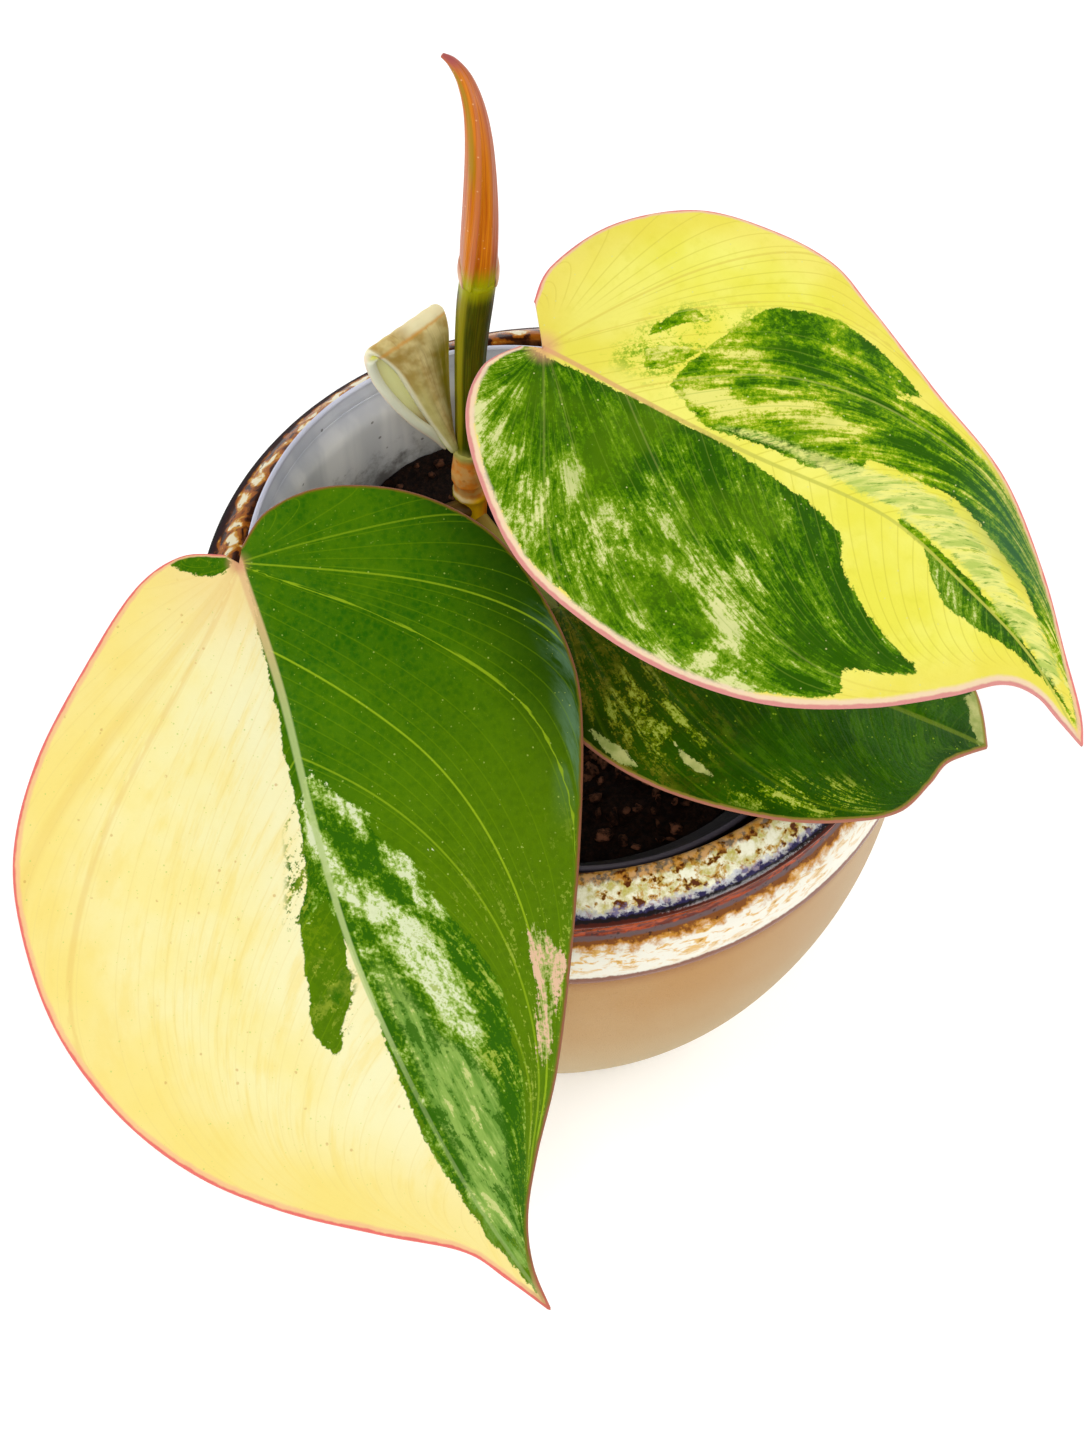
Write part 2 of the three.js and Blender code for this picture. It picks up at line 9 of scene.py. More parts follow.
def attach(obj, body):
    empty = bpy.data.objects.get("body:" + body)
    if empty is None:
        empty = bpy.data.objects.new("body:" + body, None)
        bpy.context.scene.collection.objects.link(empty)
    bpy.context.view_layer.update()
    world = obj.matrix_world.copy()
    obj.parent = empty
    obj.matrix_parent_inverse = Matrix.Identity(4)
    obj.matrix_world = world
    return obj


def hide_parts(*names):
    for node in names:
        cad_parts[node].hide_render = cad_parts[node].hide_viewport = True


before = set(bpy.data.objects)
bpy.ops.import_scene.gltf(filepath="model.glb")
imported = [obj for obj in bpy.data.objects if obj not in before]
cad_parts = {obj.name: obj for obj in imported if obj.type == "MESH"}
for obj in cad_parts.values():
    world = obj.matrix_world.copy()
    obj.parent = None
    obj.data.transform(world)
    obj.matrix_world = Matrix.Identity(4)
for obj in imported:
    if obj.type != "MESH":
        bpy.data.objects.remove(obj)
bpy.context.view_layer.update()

METRES = 0.001

# The camera looks down on the plant from the front
CAMERA_PLACE = (-2.3, -243.9, 445.4)
CAMERA_ELEVATION = 58.0
CAMERA_LENS = 75.0
CAMERA_SENSOR = 36.0

# How brightly a level surface is lit. A white one is just white at 1
STUDIO_LIGHT = 1.24

# The world's light falls from SKY_STRENGTHS[0] to SKY_STRENGTHS[1] between these heights of its direction
SKY_HEIGHTS = (0.45, 0.85)
SKY_STRENGTHS = (1.15, 0.2)

# Where the lamps point, in metres
LAMP_TARGET = (0, 0, 0.09)

# The floor is almost white
FLOOR_TONE = (253, 253, 253)
FLOOR_HALF_SIDE = 3.0

# The cover pot's glaze, by the distance from its dark ridge down the outside, which is negative towards
# the lip and the inside: its two ends, its bead and its brown fringe
GLAZE_END = 15.4
GLAZE_INNER_END = -9
GLAZE_BEAD = 14.3
GLAZE_FRINGE = 7.3

# The nursery pot that leans in the cover pot
NURSERY_RIM_CENTRE = (-1.85, -2.8, 93.85)
NURSERY_LEAN = (0.19, -0.07)
NURSERY_RIM_RADIUS = 42.7
NURSERY_BASE_RADIUS = 26.6
NURSERY_HEIGHT = 70.5
NURSERY_WALL = 1.1
NURSERY_FLOOR = 2.1
NURSERY_FLANGE = 1.2
FLANGE_DROP = 2.4

# The soil, with lumps in its surface and chunks of bark and clods lying in it
SOIL_LEVEL = 80.5
SOIL_LUMP = 2.2
SOIL_LUMPS = 90
SOIL_LUMP_RADIUS = 4.0
SOIL_REACH = 44.0
SOIL_CHUNKS = 620
CHUNK_SIZES = (0.7, 1.0, 1.5, 2.3)
CHUNK_CHANCES = (0.42, 0.34, 0.18, 0.06)
SOIL_GAP = 0.3

# Each blade has its own flat frame: u runs from the sinus to the tip, v across to the left of that
LEAF_1 = {
    "sinus": (-2.3, 7.6, 136), "heading": -32, "pitch": 8, "roll": 10,
    "length": 86.5, "half_width": 30, "droop": 16, "lobe_droop": 2, "trough": 3, "curl": 4,
    "midrib": [(0, 0), (15, 1), (30, 2.7), (49, 6.4), (62, 5.2), (75, 2.6), (86.5, -2.7)],
    "left": [(-4.5, 5), (-5.4, 10.7), (-2, 20.5), (6, 29), (16, 32.5), (25, 33.1), (33, 30.2), (46, 25.2),
             (59, 21), (70, 13.4), (78, 6.2), (84, 0.8)],
    "right": [(-2.6, -1.5), (-5, -6.6), (-3.1, -13.5), (3.4, -20.2), (13.7, -26.6), (26, -28.5),
              (38, -27.6), (50, -23.6), (60.5, -16.6), (68.5, -8.8), (73.5, -2.8), (77.9, -1.1),
              (82, -1.8)],
}
LEAF_2 = {
    "sinus": (-43.3, -10, 112), "heading": -64, "pitch": 15, "roll": 10,
    "length": 106, "half_width": 40, "droop": 23, "lobe_droop": 2, "trough": 3, "curl": 4.5,
    "midrib": [(0, 0), (18, -2), (36, -5.4), (54, -8), (74, -8.3), (90, -7.1), (106, -4.3)],
    "left": [(-1.9, 1.4), (-5, 6.6), (-4.6, 15), (1, 25), (10, 32.2), (20, 34.9), (31, 35), (40, 32.1),
             (54, 25), (68, 16.8), (79, 9.6), (87.5, 2.6), (94, -1.9), (100, -4)],
    "right": [(-1.7, -1.2), (-4.1, -6.8), (-2.6, -14), (4, -24), (13, -35.4), (23, -43.3), (34, -46.8),
              (47, -47.7), (60, -44.8), (71, -39), (80, -30.6), (88, -20.3), (94.4, -11.4), (100, -7.7)],
}
LEAF_3 = {
    "sinus": (0.1, -7.5, 98), "heading": -17, "pitch": 2, "roll": 0,
    "length": 62, "half_width": 24, "droop": 7, "lobe_droop": 1, "trough": 1.5, "curl": 2,
    "midrib": [(0, 0), (20, 0.6), (40, 1.2), (62, 0.6)],
    "left": [(-2.2, 2.4), (-3.6, 8), (1, 16.5), (10, 22), (21, 24.4), (33, 23.6), (44, 20), (53, 14.6),
             (59, 7.6)],
    "right": [(-2.2, -2.2), (-3.2, -7.6), (1.6, -14.6), (9, -19.8), (18, -22.7), (28, -23.1),
              (38.7, -21.5), (47, -18.2), (52.8, -14.2), (55.6, -8.6), (57, -4.6), (59.2, -2)],
}
LOBE_SHARE = 0.2
LOBE_LENGTH = 20.0
VEIN_SWEEP = 1.5
TROUGH_ROUNDING = 0.1
BLADE_STATIONS = 150
BLADE_STRIPS = 44
BLADE_HALF_THICKNESS = 0.4
MARGIN_HALF_THICKNESS = 0.24
MARGIN_BULGE = 0.16

# Depths pressed into a blade's upper face, and how far its midrib stands out below
MIDRIB_GROOVE = 0.3
VEIN_GROOVE = 0.12
MIDRIB_RIDGE = 0.55

# How often a search by halving goes on
EDGE_HALVINGS = 40
VEIN_HALVINGS = 24

# Side veins are numbered from 0 to 1 towards the tip. The first ends at this share of the length, and the
# ends of the others crowd together within about VEIN_CROWDING of it
FIRST_VEIN_END = 0.55
VEIN_CROWDING = 0.055
SIDE_VEINS = 34

# Patches of the variegation, as outlines in each blade's own frame
LEAF_1_PATCHES = {
    "green": [
        [(16.6, 4.6), (17, 8.7), (18.4, 13.5), (20.2, 18.3), (21.8, 22), (25.7, 24.4), (30.4, 25.8),
         (35.4, 25.9), (42.4, 24.3), (45.2, 23.2), (41.7, 21.6), (42.3, 20.8), (44.3, 21.9), (48.7, 22.4),
         (56.6, 21), (62.3, 18.4), (68.1, 14.5), (73.9, 9.7), (79.3, 4.7), (85.5, -1.5), (79.8, 3.2),
         (73.6, 7), (68.1, 10.5), (62.1, 12.7), (56.6, 13.9), (49.2, 13.1), (43.3, 11.4), (44, 8.6),
         (38, 6), (31, 4.4), (24, 2.6)],
        [(12.6, 4.6), (11.8, 7.4), (13.4, 9), (17.2, 11.1), (17.6, 9.9), (14.6, 6)],
        [(10.5, 11), (11.9, 14.2), (13.5, 15.8), (16, 15.7), (14, 13.4), (10.5, 8.8)],
        [(-2.6, -1), (0, -1), (12, 0.4), (24, 1.8), (34.1, 1.8), (40.1, 1.8), (45.8, 0.6), (48.3, -3),
         (51.9, -5.6), (58.4, -7.9), (63.1, -8.2), (63.5, -9.1), (60.6, -11.5), (55.3, -14.7), (57, -17.3),
         (54.3, -19.8), (49.5, -22.2), (46.4, -24.2), (39.4, -26.9), (31, -27.9), (23.1, -27.5),
         (13.7, -25.8), (4.4, -20.2), (-2.2, -13.6), (-4.8, -7)],
        [(50.6, 7.1), (55.9, 5.8), (58, 3.6), (61.7, 1), (67.8, 1), (73.1, 1.7), (79.1, 1), (84.4, -1),
         (78, 2.4), (70.4, 4.7), (61.9, 6.4), (53.7, 7.5)],
    ],
    "pale": [
        [(17.4, 3.4), (24.3, 5.6), (32.9, 11.2), (38.4, 13.4), (35, 14.5), (29, 10), (20.2, 6.6)],
        [(33.5, 17.7), (34.5, 19), (38.5, 19.2), (36.3, 17.5)],
        [(-1.8, -7.8), (1, -6.4), (4.8, -10.9), (6.8, -14.8), (3.6, -18), (-0.7, -16.4), (-2.8, -12)],
        [(10, -12.6), (11.1, -9.6), (14.5, -13), (15.1, -15.4), (12.7, -15.1)],
        [(20.3, -8.3), (22.3, -6.1), (28.2, -9.2), (27.9, -13.4), (24.3, -12)],
        [(30.7, -5.2), (32.8, -5), (38.2, -8.1), (34, -7.4)],
        [(36.1, -10), (37.8, -9.4), (41.6, -12.4), (37.8, -11.8)],
        [(37.1, -17.4), (38.8, -16.6), (43.2, -18.1), (42.8, -19.6), (37.9, -19.4)],
        [(36.7, -22.8), (41.9, -23.2), (41.1, -24.8), (38.5, -24.6)],
        [(52, -16), (48.9, -18.4), (54.8, -16.8), (57, -15.8)],
    ],
    "fleck": [
        [(8, 3.4), (9, 9), (12, 15), (18, 19), (24, 22), (28, 16), (30, 8), (18, 4)],
    ],
    "band": [
        [(25, 3.4), (34, 6), (43.5, 7), (49.9, 8), (56, 7.6), (63.6, 6.6), (70, 4.8), (81.3, 0.8),
         (77.3, 4.4), (72.7, 7.2), (66.1, 9.2), (60.7, 11.6), (55, 13), (49.9, 12.4), (44.2, 10.4),
         (36, 7.6), (28, 5)],
    ],
    "lace": [
        [(4.1, 3), (9.6, 9.6), (11.4, 12.8), (14.2, 15.9), (18.1, 17.2), (22, 20), (26, 14), (40, 16),
         (45, 8.6), (30, 4.6), (12.5, 3.5)],
        [(-2, -12), (8, -14), (16, -14), (26, -12), (36, -12), (44, -14), (50, -17), (46, -23),
         (38, -26.4), (24, -26.8), (12, -24), (2, -18)],
        [(56, 6), (58, 3.6), (61.7, 1), (67.8, 1), (73.1, 1.7), (68, 3), (62, 4.4)],
    ],
}
LEAF_2_PATCHES = {
    "green": [
        [(-5, 0), (0.4, 0.4), (6.9, -0.6), (13.1, -2.1), (18.5, -3.1), (27.1, -5.2), (31, -6.2), (35, -7),
         (39, -8.2), (43.5, -9.6), (46.6, -12.4), (50.8, -13.7), (54.5, -15), (61.9, -17.4), (65.1, -15.8),
         (64.5, -14.4), (61.4, -12.9), (60.1, -11), (54.4, -8.9), (51, -8), (56.8, -8.1), (63.3, -8.7),
         (70.1, -9.5), (79.2, -9.8), (86.3, -9), (93.5, -8), (99, -6.2), (106, -4), (100, 0), (88, 10),
         (68, 24), (40, 42), (10, 42), (-10, 20)],
        [(-4.6, -9), (-3.5, -4.3), (-2.2, -1.5), (-0.4, -0.6), (0.6, -2.4), (0.2, -4.3), (-0.8, -6),
         (-2.4, -7.6)],
    ],
    "fleck": [
        [(30, -6), (36.4, -9.6), (41.6, -11.8), (47.9, -15), (48, -12), (44, -9), (38, -7.6)],
        [(52, -13), (60, -16.6), (65, -15.6), (62, -11.6), (56, -8.6)],
    ],
    "pale": [
        [(24.1, -3.6), (27.1, -4.2), (30.5, -2.7), (33.7, -0.8), (40.9, 0.3), (37.2, -1.6), (33, -2.6),
         (29, -4.4)],
        [(27, -5), (36.3, -5.6), (43, -5.2), (47.1, -2.9), (51.7, 0.4), (56.3, 2.2), (62.3, 2.4),
         (69.4, 3.1), (71.3, 1.7), (68.7, -0.5), (60.7, -1.7), (54.1, -3), (49, -5), (46.4, -6.4),
         (39.6, -6.8), (31, -5.8)],
        [(43.5, 1.8), (49.7, 4.1), (54.8, 5.4), (52.2, 2.6), (47, 1.6)],
    ],
    "grey": [
        [(52.3, -7), (54.9, -4.8), (63.8, -3), (68.3, -2.5), (71.1, 0.1), (77.6, 1.5), (85.1, -0.4),
         (92, -3.3), (99.7, -4.4), (98.8, -6.1), (90.2, -7.7), (84, -6.4), (77.9, -7), (69, -6.2),
         (61.3, -6.6)],
    ],
    "pink": [
        [(60, 15.4), (62.6, 16.4), (67, 17), (68.4, 14.8), (75.7, 10.6), (78.1, 8.3), (75.4, 8.8),
         (68.6, 12.2), (62.1, 13.6)],
    ],
    "lace": [
        [(30, -3), (37, 0), (45, 3), (55, 6), (64, 8), (76, 6), (90, 0), (100, -4), (86, -9), (66, -9),
         (50, -8), (36, -8)],
        [(33, -7), (41, -11), (49, -15), (46, -9)],
    ],
}
LEAF_3_PATCHES = {
    "pale": [
        [(20.9, -16), (23.7, -17.4), (27.5, -19.2), (23.3, -18.8)],
        [(9, -18.2), (10, -17.6), (15.6, -19.9), (17.9, -21.4), (14, -21.3)],
        [(57.1, 6.7), (58.8, 9), (62.6, 2), (60.7, 0.4), (59.1, 2.9)],
    ],
    "lace": [
        [(33.5, -17.6), (37.4, -15.9), (45.2, -13.7), (49, -14.9), (44.1, -18), (38.6, -20.7), (31, -20.6)],
        [(12, -6), (20, -10), (26, -16), (20, -20), (10, -16)],
    ],
}

# Routes and radii of the stalks, from foot to end
STEM = [(-12.9, 18.2, 68, 1.9), (-12.9, 19.4, 80, 2.2), (-12.9, 20.4, 85.6, 2.3), (-12.9, 20.6, 87, 2.75),
        (-12.9, 20.7, 88.4, 2.45), (-13, 20.7, 91.6, 2.7), (-13.1, 20.8, 94, 2.4), (-13.1, 20.8, 97, 2.1)]
NEW_STALK = [(-13.1, 20.9, 95.6, 1.9), (-12.8, 21.4, 104, 2), (-12.6, 22.6, 112, 2.1),
             (-12.2, 23.8, 119, 2.3), (-11.6, 24, 126, 2.5), (-11, 23.7, 131.8, 2.5)]
PETIOLE_1 = [(-11.6, 20.2, 91, 1.5), (-8.5, 19, 98.6, 1.5), (-7.1, 16.6, 108, 1.45),
             (-5.8, 13.4, 120, 1.4), (-3.6, 9.2, 131, 1.4)]
PETIOLE_2 = [(-13.3, 19.8, 84, 1.7), (-18, 14.8, 88, 1.6), (-25, 7.4, 94, 1.5), (-33.4, -1.4, 101, 1.45),
             (-39.4, -8, 107, 1.45)]
PETIOLE_3 = [(-12.4, 20, 81.6, 1.6), (-9.6, 14.4, 83.6, 1.5), (-6, 6.4, 87.6, 1.4), (-2.6, -1, 92, 1.35),
             (0, -6, 95.4, 1.35)]
PETIOLE_INSET = 2.5
PETIOLE_END_RADIUS = 1.3
PETIOLE_TIP_RADIUS = 0.35
NEW_LEAF = [(-11, 23.6, 131.2, 2.3), (-10.7, 23.2, 138, 2.35), (-10.4, 23.2, 147, 2.15),
            (-10.4, 23.1, 157, 1.75), (-10.9, 24, 163, 1.35), (-12, 25.2, 167, 1),
            (-13.5, 26.1, 169.3, 0.65), (-14.9, 26.5, 170.3, 0.3)]
ROLL_LAP = 0.16
ROLL_TWIST = 1.2
SEAM_ANGLE = -1.9
# Each basal lobe's first and last angle round the foot of the rolled leaf, and its height
BASE_LOBES = ((-3.9, -2.5, 4.6), (-0.45, 1.2, 5.4))
BASE_LOBE_RADIUS = 2.62
BASE_LOBE_THICKNESS = 0.32

# The two open rims of the sheath, from its front foot over the fold to the back
SHEATH_LEFT_RIM = [(-15.3, 19, 98.2), (-17, 19.9, 101.5), (-19.2, 20.6, 105.7), (-21, 21.4, 109.2),
                   (-23, 22.3, 112.8), (-25.8, 22.8, 115.8), (-27.4, 23.8, 114.6), (-26.6, 23.4, 110.6),
                   (-24.5, 22.1, 107), (-21.6, 21, 103.2), (-18.2, 20.6, 99.4), (-16.4, 20.4, 97.2)]
SHEATH_RIGHT_RIM = [(-15.6, 20.6, 98.6), (-15.5, 22.2, 103), (-15.6, 23.8, 108), (-15.6, 25, 113),
                    (-15.5, 25.8, 118), (-16.2, 26.7, 121.2), (-17.6, 27.6, 120.4), (-17.8, 27.2, 115),
                    (-17.6, 26, 110), (-17.2, 24.8, 105), (-16.8, 23.2, 100.6), (-16.4, 21.8, 97.4)]
SHEATH_THICKNESS = 0.5
SHEATH_ROLL = 0.95
SHEATH_ROLL_ANGLE = 3.5


# Numbers and curves

def colour(red, green, blue, light=STUDIO_LIGHT):
    """The linear base colour of a surface that is seen as this one, from 0 to 255, in the studio's light."""
    shares = [channel / 255 for channel in (red, green, blue)]
    linear = [share / 12.92 if share <= 0.04045 else ((share + 0.055) / 1.055) ** 2.4 for share in shares]
    return (*[min(value / light, 1) for value in linear], 1.0)


def smooth_between(low, high, slope_in, slope_out, t):
    """The smooth curve from low to high with a slope at each end, at t from 0 to 1."""
    bend = 2 * low - 2 * high + slope_in + slope_out
    pull = -3 * low + 3 * high - 2 * slope_in - slope_out
    return ((bend * t + pull) * t + slope_in) * t + low


def curve_through(points, shares):
    """Smooth curve through points of any dimension, at each share of its whole parameter."""
    points = np.asarray(points, float)
    last = len(points) - 1
    place = np.clip(np.asarray(shares, float), 0, 1) * last
    start = np.minimum(place.astype(int), last - 1)
    before, low = points[np.maximum(start - 1, 0)], points[start]
    high, after = points[start + 1], points[np.minimum(start + 2, last)]
    return smooth_between(low, high, (high - before) / 2, (after - low) / 2, (place - start)[:, None])


def height_at(points, u):
    """The v of a midrib at each u: a smooth curve, level before its first point and after its last."""
    points = np.asarray(points, float)
    reach = np.clip(u, 0, points[-1, 0])
    high = np.clip(np.searchsorted(points[:, 0], reach), 1, len(points) - 1)
    low = high - 1
    before = points[np.maximum(low - 1, 0)]
    after = points[np.minimum(high + 1, len(points) - 1)]
    u0, v0 = points[low].T
    u1, v1 = points[high].T
    step = u1 - u0
    slope_in = (v1 - before[:, 1]) / (u1 - before[:, 0]) * step
    slope_out = (after[:, 1] - v0) / (after[:, 0] - u0) * step
    return smooth_between(v0, v1, slope_in, slope_out, (reach - u0) / step)


def distance_to_line(places, line, closed=False):
    """Distance from each place to the nearest stretch of a line of points."""
    start = np.asarray(line, float)
    end = np.roll(start, -1, axis=0)
    if not closed:
        start, end = start[:-1], end[:-1]
    nearest = np.full(len(places), np.inf)
    for a, b in zip(start, end):
        run = b - a
        share = np.clip(((places - a) @ run) / max(run @ run, 1e-9), 0, 1)
        nearest = np.minimum(nearest, np.linalg.norm(places - a - share[:, None] * run, axis=1))
    return nearest


def depth_inside(places, outline):
    """How far each place lies inside a closed outline. It is negative outside."""
    distance = distance_to_line(places, outline, closed=True)
    inside = np.zeros(len(places), bool)
    points = np.asarray(outline, float)
    for a, b in zip(points, np.roll(points, -1, axis=0)):
        if a[1] == b[1]:
            continue
        level = (places[:, 1] - a[1]) / (b[1] - a[1])
        crosses = (a[1] > places[:, 1]) != (b[1] > places[:, 1])
        inside ^= crosses & (places[:, 0] < a[0] + level * (b[0] - a[0]))
    return np.where(inside, distance, -distance)


def rough(places, scale, seed=0.0):
    """Smooth noise from -1 to 1 at each place."""
    shift = Vector((seed, seed * 1.7, -seed))
    return np.array([noise.noise(Vector(place) / scale + shift) for place in places])


def bell(x, middle, width):
    """A smooth hump, 1 high."""
    return np.exp(-((x - middle) / width) ** 2)


# Meshes

def turn_faces_outwards(mesh):
    shell = bmesh.new()
    shell.from_mesh(mesh)
    bmesh.ops.recalc_face_normals(shell, faces=shell.faces)
    shell.to_mesh(mesh)
    shell.free()


def piece_of(name, points, faces, material, fields=None):
    """A mesh object from points in millimetres, with one named number for each point and field."""
    mesh = bpy.data.meshes.new(name)
    places = (np.asarray(points, float) * METRES).tolist()
    mesh.from_pydata(places, [], [list(map(int, face)) for face in faces])
    for field, values in (fields or {}).items():
        layer = mesh.attributes.new(field, "FLOAT", "POINT")
        layer.data.foreach_set("value", np.asarray(values, np.float32))
    mesh.validate()
    turn_faces_outwards(mesh)
    mesh.shade_smooth()
    mesh.materials.append(material)
    return add_object(name, mesh)


def add_object(name, data):
    made = bpy.data.objects.new(name, data)
    bpy.context.scene.collection.objects.link(made)
    return made


def install(piece, node):
    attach(piece, "root")
    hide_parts(node)


def grid_faces(rows, columns, closed=False):
    """Quads of a grid whose points run along each row. A closed grid joins its last column to the first."""
    faces = []
    for i in range(rows - 1):
        for j in range(columns if closed else columns - 1):
            k = (j + 1) % columns
            faces.append((i * columns + j, i * columns + k, (i + 1) * columns + k, (i + 1) * columns + j))
    return faces


def tube_faces(rings, sides):
    """Faces of a tube of rings, closed by a point before its first ring and one after its last. The two
    points come after those of the rings."""
    faces = grid_faces(rings, sides, closed=True)
    first = rings * sides
    last = first + 1
    end = first - sides
    for j in range(sides):
        k = (j + 1) % sides
        faces += [(first, k, j), (last, end + j, end + k)]
    return faces


def sheet_faces(rows, columns):
    """Faces of a closed sheet: a grid of points, the same grid again behind it, and the edge between them."""
    behind = rows * columns
    faces = grid_faces(rows, columns)
    faces += [tuple(index + behind for index in reversed(face)) for face in faces]
    border = list(range(columns))
    border += [i * columns + columns - 1 for i in range(1, rows)]
    border += [(rows - 1) * columns + j for j in range(columns - 2, -1, -1)]
    border += [i * columns for i in range(rows - 2, 0, -1)]
    return faces + [(b, a, a + behind, b + behind) for a, b in zip(border, border[1:] + border[:1])]


def turned(profile, sides):
    """Points and faces of a closed profile turned about Z, starting and ending on the axis."""
    profile = np.asarray(profile, float)
    angles = np.arange(sides) * 2 * math.pi / sides
    ring = np.stack([np.cos(angles), np.sin(angles)], axis=1)
    points = [[r * x, r * y, z] for r, z in profile[1:-1] for x, y in ring]
    points += [[0, 0, profile[0, 1]], [0, 0, profile[-1, 1]]]
    return np.array(points), tube_faces(len(profile) - 2, sides)


# Shaders

class Value:
    """What a node gives at each point of a surface. It takes part in sums with numbers and other values."""

    def __init__(self, shader, socket):
        self.shader = shader
        self.socket = socket

    def __add__(self, other):
        return self.shader.sum("ADD", self, other)

    __radd__ = __add__

    def __sub__(self, other):
        return self.shader.sum("SUBTRACT", self, other)

    def __rsub__(self, other):
        return self.shader.sum("SUBTRACT", other, self)

    def __mul__(self, other):
        return self.shader.sum("MULTIPLY", self, other)

    def __truediv__(self, other):
        return self.shader.sum("DIVIDE", self, other)

    def __abs__(self):
        return self.shader.sum("ABSOLUTE", self)

    def rise(self, low, high, floor=0.0, top=1.0):
        """A smooth step, from floor where the value is low to top where it is high."""
        inputs = {0: self, 1: low, 2: high, 3: floor, 4: top}
        return self.shader.node("ShaderNodeMapRange", inputs, interpolation_type="SMOOTHSTEP")

    def band(self, low, high, blur):
        """A mask that is 1 between two values."""
        return self.rise(low - blur, low + blur) * (1 - self.rise(high - blur, high + blur))


class Coat:
    """A colour that is built up in layers."""

    def __init__(self, shader, ground):
        self.shader = shader
        self.top = ground

    def lay(self, mask, tone, amount=None):
        """Lays a tone over all, by the mask and by an amount of it."""
        share = mask if amount is None else mask * amount
        self.top = self.shader.mix(share, self.top, tone)


class Shader:
    """Builds one material's nodes. A number, colour, value or coat can go into any socket, and a colour of
    three numbers from 0 to 255 is one as it is seen in the studio."""

    def __init__(self, name, **settings):
        self.material = bpy.data.materials.new(name)
        self.material.use_nodes = True
        self.tree = self.material.node_tree
        self.surface = self.tree.nodes["Principled BSDF"]
        for socket, value in settings.items():
            self.surface.inputs[socket.replace("_", " ").title().replace("Ior", "IOR")].default_value = value

    def feed(self, value, socket):
        if isinstance(value, Coat):
            value = value.top
        if isinstance(value, Value):
            self.tree.links.new(value.socket, socket)
        elif socket.type == "RGBA":
            socket.default_value = colour(*value)
        else:
            socket.default_value = value

    def node(self, kind, inputs, output=0, **settings):
        """Adds a node and returns one of its outputs."""
        made = self.tree.nodes.new(kind)
        for name, value in settings.items():
            setattr(made, name, value)
        for key, value in inputs.items():
            self.feed(value, made.inputs[key])
        return Value(self, made.outputs[output])

    def sum(self, operation, a, b=0.0):
        return self.node("ShaderNodeMath", {0: a, 1: b}, operation=operation)

    def mix(self, share, low, high):
        return self.node("ShaderNodeMix", {0: share, 6: low, 7: high}, 2, data_type="RGBA")

    def coat(self, share, low, high):
        """A coat whose ground is a mix of two colours."""
        return Coat(self, self.mix(share, low, high))

    def field(self, name):
        return self.node("ShaderNodeAttribute", {}, "Fac", attribute_name=name)

    def vector_sum(self, operation, inputs):
        return self.node("ShaderNodeVectorMath", inputs, operation=operation)

    def place(self):
        """The object's own position in millimetres."""
        spot = self.node("ShaderNodeTexCoord", {}, "Object")
        return self.vector_sum("SCALE", {0: spot, "Scale": 1 / METRES})

    def parts(self, vector):
        """The x, y and z of a vector."""
        x = self.node("ShaderNodeSeparateXYZ", {0: vector})
        return [Value(self, output) for output in x.socket.node.outputs]

    def join(self, x, y, z):
        return self.node("ShaderNodeCombineXYZ", {0: x, 1: y, 2: z})

    def noise(self, vector, scale, detail=3.0, roughness=0.55, distortion=0.0):
        inputs = {"Vector": vector, "Scale": scale, "Detail": detail, "Roughness": roughness,
                  "Distortion": distortion}
        return self.node("ShaderNodeTexNoise", inputs)

    def cells(self, vector, scale):
        """Distance to the nearest of many scattered points, in cells."""
        return self.node("ShaderNodeTexVoronoi", {"Vector": vector, "Scale": scale})

    def bump(self, height, strength, depth):
        """Bends the surface by a height from 0 to 1 that stands for depth millimetres."""
        inputs = {"Height": height, "Strength": strength, "Distance": depth * METRES}
        self.feed(self.node("ShaderNodeBump", inputs), self.surface.inputs["Normal"])

    def finish(self, base, roughness):
        self.feed(base, self.surface.inputs["Base Color"])
        self.feed(roughness, self.surface.inputs["Roughness"])
        return self.material


# The stage: a pale floor, soft light and the camera

def build_camera():
    data = bpy.data.cameras.new("camera")
    data.lens = CAMERA_LENS
    data.sensor_width = CAMERA_SENSOR
    data.clip_start = 0.01
    camera = add_object("camera", data)
    camera.location = [value * METRES for value in CAMERA_PLACE]
    camera.rotation_euler = (math.radians(90 - CAMERA_ELEVATION), 0, 0)
    bpy.context.scene.camera = camera


def add_lamp(name, place, width, height, power):
    """A soft lamp that points at the middle of the plant."""
    data = bpy.data.lights.new(name, "AREA")
    data.shape = "ELLIPSE"
    data.size = width
    data.size_y = height
    data.energy = power
    lamp = add_object(name, data)
    lamp.location = place
    lamp.rotation_euler = (Vector(LAMP_TARGET) - Vector(place)).to_track_quat("-Z", "Y").to_euler()
    return lamp


def build_world():
    """Even white light, stronger from the sides than from straight above."""
    world = bpy.data.worlds.new("studio")
    world.use_nodes = True
    nodes, links = world.node_tree.nodes, world.node_tree.links
    background = nodes["Background"]
    background.inputs["Color"].default_value = (1, 1, 1, 1)
    direction = nodes.new("ShaderNodeTexCoord")
    parts = nodes.new("ShaderNodeSeparateXYZ")
    level = nodes.new("ShaderNodeMapRange")
    for socket, value in zip(level.inputs[1:5], SKY_HEIGHTS + SKY_STRENGTHS):
        socket.default_value = value
    links.new(direction.outputs["Generated"], parts.inputs[0])
    links.new(parts.outputs["Z"], level.inputs[0])
    links.new(level.outputs[0], background.inputs["Strength"])
    bpy.context.scene.world = world
    bpy.context.scene.view_settings.view_transform = "Standard"


